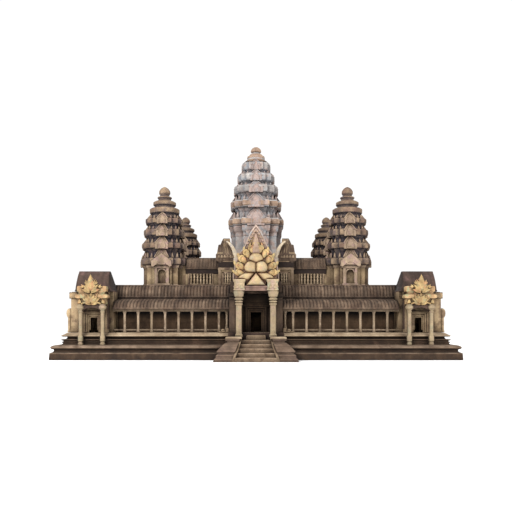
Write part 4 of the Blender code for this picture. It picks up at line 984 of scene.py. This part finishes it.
# Painted shade: the dark aprons beside the threshold stand in for the shadow there.
apron = both_hands(rows((0.0, 2.46, 15.0, 15.645, 1.975, 2.374), (0.0, 1.24, 15.0, 15.66, 1.74, 2.0)))
piece("entrance_aprons", placed(apron, FRONT_AND_REAR), umber_shade_finish)
vault_arc = ((1.93, 6.86), (1.96, 6.92), (1.96, 7.02), (1.86, 7.06))
vault_curve = rounded(((1.82, 7.10), (1.80, 7.60), (1.62, 8.20), (1.30, 8.75), (0.90, 9.20), (0.45, 9.50), (0.18, 9.60)), 0.2, 5)
half_vault = [(vault_arc, 0.0), (vault_curve, 1.0), (((0.15, 9.62), (0.15, 9.73)), 0.0)]
other_half = [(np.asarray(points)[::-1] * (-1, 1), weight) for points, weight in half_vault[::-1]]
porch_vault = placed(ribbed(half_vault + other_half, 10.84, 15.71, 0.30, 0.05), [turned(90) @ np.diag([1.0, -1.0, 1.0, 1.0])])
vault_shape = together([
    porch_vault,
    rows(
        (-2.30, 2.30, 12.70, 15.03, 5.9003, 6.95), (-1.90, 1.90, 14.80, 15.71, 6.10, 6.98),
        (-2.36, 2.36, 11.3503, 12.74, 5.4003, 6.60), (-2.20, 2.20, 10.84, 12.72, 6.6003, 7.20),
    ),
])
roofs = ["front_porch_roof", "rear_porch_roof"]
piece("porch_vaults", placed(vault_shape, FRONT_AND_REAR), roof_finish, roofs)
edge_line = [(max(x - 0.07, 0.0), 13.38, z - 0.07) for x, z in rounded(OGIVE_EDGE, 0.3, 5)]
gable = together([
    plate(OGIVE_EDGE, 13.10, 13.36, 0.04), both_hands(tube(edge_line, 0.08)), moved(leaf(1.9, 3.0, 0.14), y=13.34, z=8.70),
])
haze_finish = stone("haze_finish", (150, 132, 120), (178, 156, 142), (150, 150, 150), patch=0.7, depth=0.2, shadow=(150, 120, 105))
piece("porch_gables", placed(gable, FRONT_AND_REAR), haze_finish)


# The upper galleries: a vaulted corridor on each side of the upper storey, with a taller gate hall
# in its middle. Turned stone bars stand in the windows and a course of small arches runs at the eave.

WING_END = 6.8797
GOPURA_SECTION = ((1.38, 9.16), (1.40, 9.30), (1.40, 9.44), (1.36, 9.50), (1.37, 9.80), (1.30, 9.92))
GOPURA_CURVE = ((1.32, 9.90), (1.24, 10.10), (1.12, 10.36), (0.98, 10.62), (0.80, 10.90), (0.56, 11.20), (0.24, 11.38))
BALUSTER = (
    (7.0, 0.13), (7.07, 0.13), (7.09, 0.07), (7.14, 0.12), (7.22, 0.08), (7.34, 0.115), (7.49, 0.07),
    (7.64, 0.115), (7.76, 0.08), (7.84, 0.12), (7.89, 0.07), (7.91, 0.13), (7.98, 0.13),
)
wing_parts = [
    (((0.80, 8.40), (0.99, 8.44), (1.00, 8.54), (0.95, 8.57)), 0.0),
    (arc((0.0, 8.57), (0.96, 1.00), 4, 78, 14), 1.0),
    (((0.16, 9.55), (0.13, 9.62), (-0.13, 9.62), (-0.16, 9.55)), 0.0),
    (arc((0.0, 8.57), (0.96, 1.00), 102, 176, 14), 1.0),
    (((-0.95, 8.57), (-1.00, 8.54), (-0.99, 8.44), (-0.80, 8.40)), 0.0),
]
wing_roof = ribbed(wing_parts, 3.50, WING_END, 0.28, 0.045)
low_half = [(GOPURA_SECTION, 0.0), (rounded(GOPURA_CURVE, 0.1), 1.0), (((0.14, 11.42), (0.12, 11.50)), 0.0)]
high_half = [(np.asarray(points)[::-1] * (-1, 1), weight) for points, weight in low_half[::-1]]
gopura_roof = moved(ribbed(low_half + high_half, -3.22, 3.22, 0.28, 0.05), y=0.35)
GATE_NOTCH = ((9.10, 1.84), (9.50, 1.88), (10.0, 1.98), (10.60, 2.23), (11.05, 2.54), (12.0, 2.62))
notch_heights, notch_edges = np.array(GATE_NOTCH).T
flank_points, *flank_faces = moved(ribbed(low_half + high_half, 1.84, 3.22, 0.28, 0.05), y=0.35)
flank_inner = np.interp(flank_points[:, 2], notch_heights, notch_edges)
flank_points[:, 0] = flank_inner + (flank_points[:, 0] - 1.84) * (3.22 - flank_inner) / (3.22 - 1.84)
flank_roof = (flank_points, *flank_faces)
ends = together([
    levels_loft([(z, 3.2, x, 9.40 - y, 9.40 + y) for z, x, y in steps], 0.03, 0.02)
    for steps in (
        ((9.08, 3.62, 1.40), (9.16, 3.80, 1.42), (9.34, 3.89, 1.42), (9.50, 3.86, 1.40), (9.78, 3.88, 1.39), (9.88, 3.80, 1.34)),
        ((9.86, 3.78, 1.30), (10.34, 3.71, 1.12), (10.74, 3.66, 0.92), (10.80, 3.60, 0.90)),
        ((10.78, 3.46, 0.90), (11.18, 3.34, 0.56), (11.40, 3.26, 0.24), (11.46, 3.22, 0.18)),
    )
])
FOUR_SIDES = [turned(angle) for angle in (180, 0, 90, -90)]
LEFT_AND_RIGHT = FOUR_SIDES[2:]
upper_roofs = both_hands(together([moved(wing_roof, y=9.05), ends]))
front_upper = placed(together([upper_roofs, both_hands(moved(flank_roof, y=9.05))]), FOUR_SIDES[:2])
low_vault = [((1.80, 9.13), (1.79, 9.20)), ((1.74, 9.22), (1.30, 9.26), (0.90, 9.38), (0.45, 9.62), (0.18, 9.74)), ((0.15, 9.76), (0.14, 9.84))]
low_vault = list(zip(low_vault, (0.0, 1.0, 0.0)))
low_vault += [(np.asarray(points)[::-1] * (-1, 1), weight) for points, weight in low_vault[::-1]]
low_vault = placed(ribbed(low_vault, 8.02, 10.86, 0.30, 0.05), [turned(90) @ np.diag([1.0, -1.0, 1.0, 1.0])])
piece("gate_hall_vaults", placed(low_vault, FRONT_AND_REAR), side_roof_finish)
side_upper = placed(together([upper_roofs, moved(gopura_roof, y=9.05)]), LEFT_AND_RIGHT)
piece("upper_gallery_roofs", front_upper, roof_finish)
piece("side_upper_gallery_roofs", side_upper, side_roof_finish)
bars = together([
    placed(lathe(BALUSTER, 10, 0.008), [turned(move=(x, 9.83, 0.0)) for x in np.linspace(4.46, 6.34, 7)]),
    placed(lathe(BALUSTER, 10, 0.008), [turned(move=(x, 10.72, 0.0)) for x in (2.46, 2.70, 2.94)]),
])
bar_finish = stone("bar_finish", (150, 128, 102), (184, 162, 134), patch=1.2, depth=0.15, hollow=1.0)
piece("upper_window_bars", placed(both_hands(bars), FOUR_SIDES), bar_finish)
upper_walls = together([
    placed(leaf(0.26, 0.34, 0.07), [turned(move=(x, 10.79, 9.44)) for x in np.arange(0.15, 3.8, 0.285)]),
    rows(
        (4.16, 4.30, 9.7, 9.96, 6.9, 8.10), (6.50, 6.64, 9.7, 9.96, 6.9, 8.10), (4.16, 6.64, 9.7, 9.96, 7.98, 8.10),
        (4.10, 6.70, 9.7, 9.98, 6.86, 7.00), (3.50, 6.87, 9.7, 9.97, 6.601, 6.78), (3.50, 6.87, 9.7, 9.95, 8.02, 8.10),
        (2.16, 2.30, 10.6, 10.86, 6.9, 8.10), (3.10, 3.24, 10.6, 10.86, 6.9, 8.10), (2.16, 3.24, 10.6, 10.86, 7.98, 8.12),
        (2.10, 3.30, 10.6, 10.88, 6.86, 7.00), (3.38, 3.62, 10.6, 10.86, 6.601, 9.08), (0.0, 3.62, 10.6, 10.88, 8.44, 8.52),
        (1.90, 2.08, 10.6, 10.90, 6.601, 8.90), (0.0, 3.62, 10.6, 10.88, 6.601, 6.80), (0.0, 3.66, 10.6, 10.87, 8.30, 8.46),
    ),
])
upper_finish = stone("upper_finish", (112, 92, 74), (158, 136, 110), (92, 74, 62), patch=0.9, depth=0.2)
piece("upper_gallery_carving", placed(both_hands(upper_walls), FOUR_SIDES), upper_finish)
# Painted shade: near-black bands on the upper walls under each eave stand in for its shadow.
eave_shadows = rows((3.50, 6.872, 9.7, 9.968, 7.985, 8.43), (0.0, 3.624, 10.6, 10.865, 8.50, 9.07), (3.40, 3.626, 8.0, 10.862, 8.50, 9.07))
piece("upper_eave_shadow_bands", placed(both_hands(eave_shadows), FOUR_SIDES), painted_shade_finish)
dress([f"upper_{side}_gallery" for side in ("front", "rear", "left", "right")], front_wall_finish)
GATE_EDGE = ((1.84, 8.92), (2.00, 9.60), (1.74, 10.48), (1.22, 11.16), (0.60, 11.66), (0.0, 12.02))
gate_line = [(x, 10.80, z) for x, z in rounded(GATE_EDGE, 0.3, 5)]
gate = together([
    plate(GATE_EDGE, 10.50, 10.78, 0.04), both_hands(tube(gate_line, 0.10)), moved(leaf(2.2, 2.2, 0.16), y=10.76, z=9.0),
    both_hands(along(leaf(0.32, 0.38, 0.10), GATE_EDGE, 10.70, 0.9, 14, 0.35, 0.04, 0.97)),
    nested_frames(((0.50, 0.14, 8.25, 0.06), (0.66, 0.14, 8.42, 0.12)), 10.80, 6.601),
])
VERGE_LINE = ((1.92, 8.62), (1.93, 9.20), (2.00, 9.80), (2.22, 10.42), (2.56, 10.88), (2.84, 11.06))
verge_line = [(x, 10.74, z) for x, z in rounded(VERGE_LINE, 0.3, 5)]
verge = both_hands(tube(verge_line, np.linspace(0.29, 0.09, len(verge_line)), 12, 0.6))
verge_finish = stone("verge_finish", (172, 154, 130), (200, 184, 158), (166, 158, 150), patch=1.1, depth=0.15, streak=0.4)
upper_gables = together([placed(gate, LEFT_AND_RIGHT), placed(verge, FOUR_SIDES[:2])])
piece("upper_gables", upper_gables, verge_finish)


# The corner towers: a square shrine with doorways or carved false doors, and a spire of four tiers
# that repeat the shrine in smaller sizes. Stone leaves stand on every cornice, and a lotus ends it.

TOWER_AT = 9.05
BODY_MOULDING = (
    (6.6003, 1.86), (6.76, 1.90), (6.80, 1.85), (6.88, 1.88), (6.94, 1.80), (7.0, 1.765), (8.30, 1.765),
    (8.34, 1.80), (8.42, 1.82), (8.48, 1.78), (8.54, 1.84), (8.64, 1.90), (8.80, 1.92),
)


def redented(half, z, middle=(0.0, 0.0), split=3):
    """A square ring whose corners step back twice, every side split in equal parts: 20 corners times `split`."""
    quadrant = np.array([(1, 0.52), (0.84, 0.52), (0.84, 0.84), (0.52, 0.84), (0.52, 1)])
    turns = np.array([((1, 0), (0, 1)), ((0, 1), (-1, 0)), ((-1, 0), (0, -1)), ((0, -1), (1, 0))])
    corners = np.einsum("tij,pi->tpj", turns, quadrant).reshape(-1, 2)
    share = np.linspace(0, 1, split, endpoint=False)[None, :, None]
    plan = corners[:, None] * (1 - share) + np.roll(corners, -1, axis=0)[:, None] * share
    return np.insert(plan.reshape(-1, 2) * half + middle, 2, z, axis=1)


def circle(radius, z, middle=(0.0, 0.0), split=3):
    """A ring of the same number of points as the redented one, evenly set from 9 degrees."""
    angle = np.radians(9) + np.arange(20 * split) * 2 * math.pi / (20 * split)
    return np.stack([middle[0] + radius * np.cos(angle), middle[1] + radius * np.sin(angle), np.full(len(angle), z)], axis=-1)


def band(levels, inside):
    """A moulding round the shrine: redented rings at (height, half width), closed by rings inside the wall."""
    low, high = levels[0][0], levels[-1][0]
    return ring_loft(np.stack([redented(half, z) for z, half in [(low, inside), *levels, (high, inside)]]))


def spire(tiers, crown):
    """Tiers as slabs with round noses and a concave recess over each, then the crown's turned profile, in one solid."""
    rings = []
    for number, (low, high, half) in enumerate(tiers):
        rise = high - low
        top, following = (tiers[number + 1][0], tiers[number + 1][2]) if number + 1 < len(tiers) else (high + 0.1, half)
        gap = top - high
        levels = (
            (low + 0.0003, 0.86 * half), (low + 0.03 * rise, 0.95 * half), (low + 0.12 * rise, 0.995 * half),
            (low + 0.30 * rise, 1.01 * half), (low + 0.70 * rise, 1.01 * half), (high - 0.16 * rise, 1.0 * half),
            (high - 0.03 * rise, 0.96 * half), (high, 0.88 * half), (high + 0.05 * gap, 0.80 * half),
            (high + 0.28 * gap, 0.755 * half), (high + 0.62 * gap, 0.76 * following), (high + 0.88 * gap, 0.84 * following),
        )
        rings += [redented(size, z) for z, size in levels]
    rings += [circle(radius, z) for z, radius in rounded(crown, 0.05, 4)]
    return ring_loft(np.stack(rings))


def recess_stones(shelves, depth=0.12):
    """Small tapering stones on every shelf, given as (height, half width, free height above it).

    On each side two stand near the middle, two in the stepped corner and one is turned to the diagonal.
    """
    shapes = []
    stone_leaf = leaf(0.24, 1.0, depth, belly=0.1, power=1.3, count=9)
    for base, half, free in shelves:
        size = (half / 1.9, 1.0, 0.66 * free)
        spots = [(0.46, 0.84), (-0.46, 0.84), (0.66, 0.70), (-0.66, 0.70)]
        shapes += [placed(stone_leaf, [turned(move=(x * half, y * half - depth, base - 0.02), size=size)]) for x, y in spots]
        shapes.append(placed(stone_leaf, [turned(-45, move=(0.66 * half, 0.66 * half, base - 0.02), size=size)]))
    return placed(together(shapes), [turned(angle) for angle in (0, 90, 180, 270)])


def stacked_gables(tiers, above, width, out):
    """A gable before the middle of every slab and of the recess over it, with a leaf in it and a bar along its slopes.

    Above its slab each gable leans back into the recess: points move inward in proportion to their height over it.
    """
    shapes = []
    for (low, high, half), top in zip(tiers, [low for low, _, _ in tiers[1:]] + [above]):
        w, rise = width * half, top - low + 0.06
        slope = np.array([(w, 0.0), (1.04 * w, 0.42 * rise), (0.52 * w, 0.78 * rise), (0.0, 1.04 * rise)])
        edge = np.insert(slope[1:] + (0.0, low - 0.06), 1, half + out, axis=1)
        points, *faces = together([
            moved(plate(slope, 0.70 * half, half + out), z=low - 0.06), both_hands(tube(edge, 0.06)),
            moved(leaf(1.1 * w, 0.80 * rise, 0.09, BORDER_RINGS), y=half + out - 0.02, z=low - 0.02),
        ])
        points[:, 1] -= np.maximum(points[:, 2] - (high - 0.1), 0) * 0.20 * half / (top - high)
        shapes.append((points, *faces))
    return placed(together(shapes), [turned(angle) for angle in (0, 90, 180, 270)])


def arched(half, low, spring, top, face, out):
    """A doorway's arched head: two corner pieces over a round arch, and a bar that follows the arch."""
    curve = arc((0.0, spring), (half, top - spring - 0.12), 0, 90, 10)
    corner = np.concatenate([curve, [(0.0, top), (half + 0.01, top)]])
    corner = ring_loft(np.stack([np.insert(corner, 1, y, axis=1) for y in (face - 0.2, face + out * 0.5)]))
    right = np.concatenate([[(half + 0.06, low), (half + 0.06, spring)], arc((0.0, spring), (half + 0.06, top - spring - 0.06), 8, 90, 10)])
    line = np.concatenate([right, right[-2::-1] * (-1, 1)])
    bar = tube(np.insert(line, 1, face + out * 0.4, axis=1), 0.075)
    return together([both_hands(corner), bar])


TIERS = ((8.80, 9.48, 2.13), (10.36, 10.96, 2.05), (11.62, 12.29, 1.88), (12.85, 13.38, 1.72))
CROWN = (
    (13.46, 1.36), (13.62, 1.34), (13.80, 1.18), (13.90, 1.30), (13.98, 1.46), (14.38, 1.47), (14.48, 1.30), (14.58, 0.96),
    (14.70, 0.98), (14.80, 1.12), (15.08, 1.12), (15.18, 0.95), (15.30, 0.62), (15.44, 0.62), (15.52, 0.72), (15.62, 0.70),
    (15.72, 0.44), (15.82, 0.46), (15.98, 0.56), (16.22, 0.54), (16.44, 0.40), (16.58, 0.22), (16.66, 0.04),
)
# Painted shade: the recesses of the tiers take a blue-grey colour through the strong occlusion tint.
tower_finish = stone(
    "tower_finish", (108, 88, 71), (147, 125, 100), (102, 86, 79), (115, 91, 77), patch=0.8, depth=0.3, hollow=3.4,
    shadow=(104, 118, 165), reach=1.3,
)
panel_finish = stone("panel_finish", (138, 116, 88), (170, 148, 116), (120, 98, 78), patch=0.7, streak=0.4)
leaf_finish = stone("leaf_finish", (132, 112, 92), (162, 140, 118), (149, 123, 114), patch=1.4, depth=0.25, hollow=2.2, reach=0.5)
at_tower = [quarter @ turned(move=(TOWER_AT, TOWER_AT, 0.0)) for quarter in QUARTERS]
tower_spires = [f"{corner}_tower_spire" for corner in CORNERS]
piece("tower_spires", placed(spire(TIERS, CROWN), at_tower), tower_finish, tower_spires)
CHEVRON = (
    (0.80, 8.58), (0.96, 8.66), (0.96, 9.14), (0.0, 9.86), (-0.96, 9.14), (-0.96, 8.66), (-0.80, 8.58), (0.0, 9.18),
)
niche = together([
    arched(0.37, 6.98, 7.98, 8.45, 1.80, 0.16),
    rows((-0.68, -0.44, 1.7, 1.96, 6.90, 8.60), (0.44, 0.68, 1.7, 1.96, 6.90, 8.60), (-0.78, 0.78, 1.6, 2.0, 6.70, 6.98)),
    plate(((0.84, 8.46), (0.84, 8.66), (0.0, 9.24)), 1.7, 1.98, 0.02),
    prism(CHEVRON, 1.72, 2.22, 1),
])
bodies = together([
    band([(6.6003, 1.87), (6.70, 1.89), (6.76, 1.86), (6.80, 1.88), (6.86, 1.80), (6.94, 1.78)], 1.70),
    band([(8.50, 1.78), (8.56, 1.84), (8.66, 1.88), (8.798, 1.90)], 1.70),
    crossed(niche),
])
false_doors = crossed(rows((-0.40, 0.40, 1.50, 1.56, 6.93, 8.50), (-0.03, 0.03, 1.55, 1.59, 6.95, 8.40)))
dress([f"{corner}_tower" for corner in CORNERS], panel_finish)
shelves = [(high, half, top - high) for (_, high, half), top in zip(TIERS, (10.36, 11.62, 12.85, 13.90))]
leaves = together([recess_stones(shelves), stacked_gables(TIERS[:1], 10.60, 0.30, 0.03), stacked_gables(TIERS[1:], 13.90, 0.30, 0.03)])
piece("tower_niches", placed(bodies, at_tower), leaf_finish)
piece("tower_false_doors", placed(false_doors, at_tower), panel_finish)
piece("tower_gables", placed(leaves, at_tower), leaf_finish)


# The central tower: the tallest, on a stepped base, with a doorway and a gable on each side. It is
# of a greyer stone, darkened by lichen in streaks and by painted blue-grey shade in its recesses, with
# warmer cornice ends and a warm lotus at the top.

CENTRAL_TIERS = (
    (13.84, 14.74, 3.0), (15.88, 16.75, 2.76), (17.59, 18.45, 2.41), (18.96, 19.81, 2.0), (20.27, 21.16, 1.53),
)
CENTRAL_CROWN = (
    (21.20, 1.10), (21.26, 0.82), (21.36, 0.96), (21.44, 1.01), (21.80, 1.00), (21.92, 0.84), (22.04, 0.58), (22.16, 0.62),
    (22.26, 0.62), (22.36, 0.44), (22.46, 0.48), (22.60, 0.57), (22.80, 0.54), (22.98, 0.40), (23.10, 0.22), (23.16, 0.04),
)
# Painted shade: the recesses take a pale blue-grey colour through the occlusion tint.
grey_finish = stone(
    "grey_finish", (140, 134, 130), (174, 168, 162), (162, 142, 132), (150, 152, 154), patch=0.7, depth=0.2, hollow=1.7,
    shadow=(184, 188, 200), reach=1.3, streak=0.4,
)
piece("central_spire", spire(CENTRAL_TIERS, CENTRAL_CROWN), grey_finish, ["central_tower_spire"])
dress(["central_tower"], grey_finish)
big_gable = together([
    nested_frames(((0.55, 0.16, 11.0, 0.10), (0.73, 0.18, 11.2, 0.18), (0.94, 0.22, 11.5, 0.26)), 2.70, 8.93),
    moved(plate(((1.30, 0.0), (1.40, 0.4), (1.16, 0.9), (0.70, 1.3), (0.0, 1.6)), 2.5, 2.76), z=11.72),
    moved(plate(((1.04, 0.0), (1.12, 0.5), (0.94, 1.1), (0.50, 1.76), (0.0, 2.3)), 2.6, 2.84), z=12.74),
    moved(leaf(1.4, 1.8, 0.10, BORDER_RINGS), y=2.80, z=12.84),
])
central_shelves = [
    (high, half, top - high) for (_, high, half), top in zip(CENTRAL_TIERS[:4], (15.88, 17.59, 18.96, 20.27))
]
central_carving = together([
    placed(big_gable, FOUR_SIDES),
    band([(8.961, 2.72), (9.10, 2.74), (9.16, 2.70), (9.24, 2.70)], 2.5),
    band([(12.70, 2.70), (12.78, 2.74), (12.86, 2.72), (13.10, 2.70), (13.30, 2.90), (13.62, 2.94), (13.838, 2.94)], 2.5),
    recess_stones(central_shelves, 0.16),
    stacked_gables(CENTRAL_TIERS, 21.5, 0.32, 0.04),
])
warm_finish = stone(
    "warm_finish", (146, 130, 124), (172, 154, 146), (168, 144, 134), (148, 148, 150), patch=1.0, depth=0.15, hollow=1.4, reach=0.6
)
piece("central_tower_carving", central_carving, warm_finish)
courses = together([
    band([(low + 0.12, 0.99 * half), (low + 0.24, 1.03 * half), (high - 0.26, 1.03 * half), (high - 0.12, 0.99 * half)], 0.8 * half)
    for low, high, half in CENTRAL_TIERS[:2]
])
finial = moved(lathe(((22.40, 0.40), (22.48, 0.52), (22.60, 0.60), (22.80, 0.57), (22.98, 0.43), (23.10, 0.24), (23.155, 0.05)), 28))
orange_finish = stone("orange_finish", (146, 120, 102), (174, 148, 126), (160, 142, 134), patch=0.9, depth=0.25)
DRUM = (
    (21.205, 0.90), (21.24, 1.05), (21.56, 1.09), (21.62, 0.98), (21.72, 0.96), (21.78, 1.02), (22.02, 0.98), (22.10, 0.80),
    (22.26, 0.70), (22.32, 0.45),
)
drum = lathe(DRUM, 28)
piece("central_warm_courses", together([courses, drum, finial]), orange_finish)
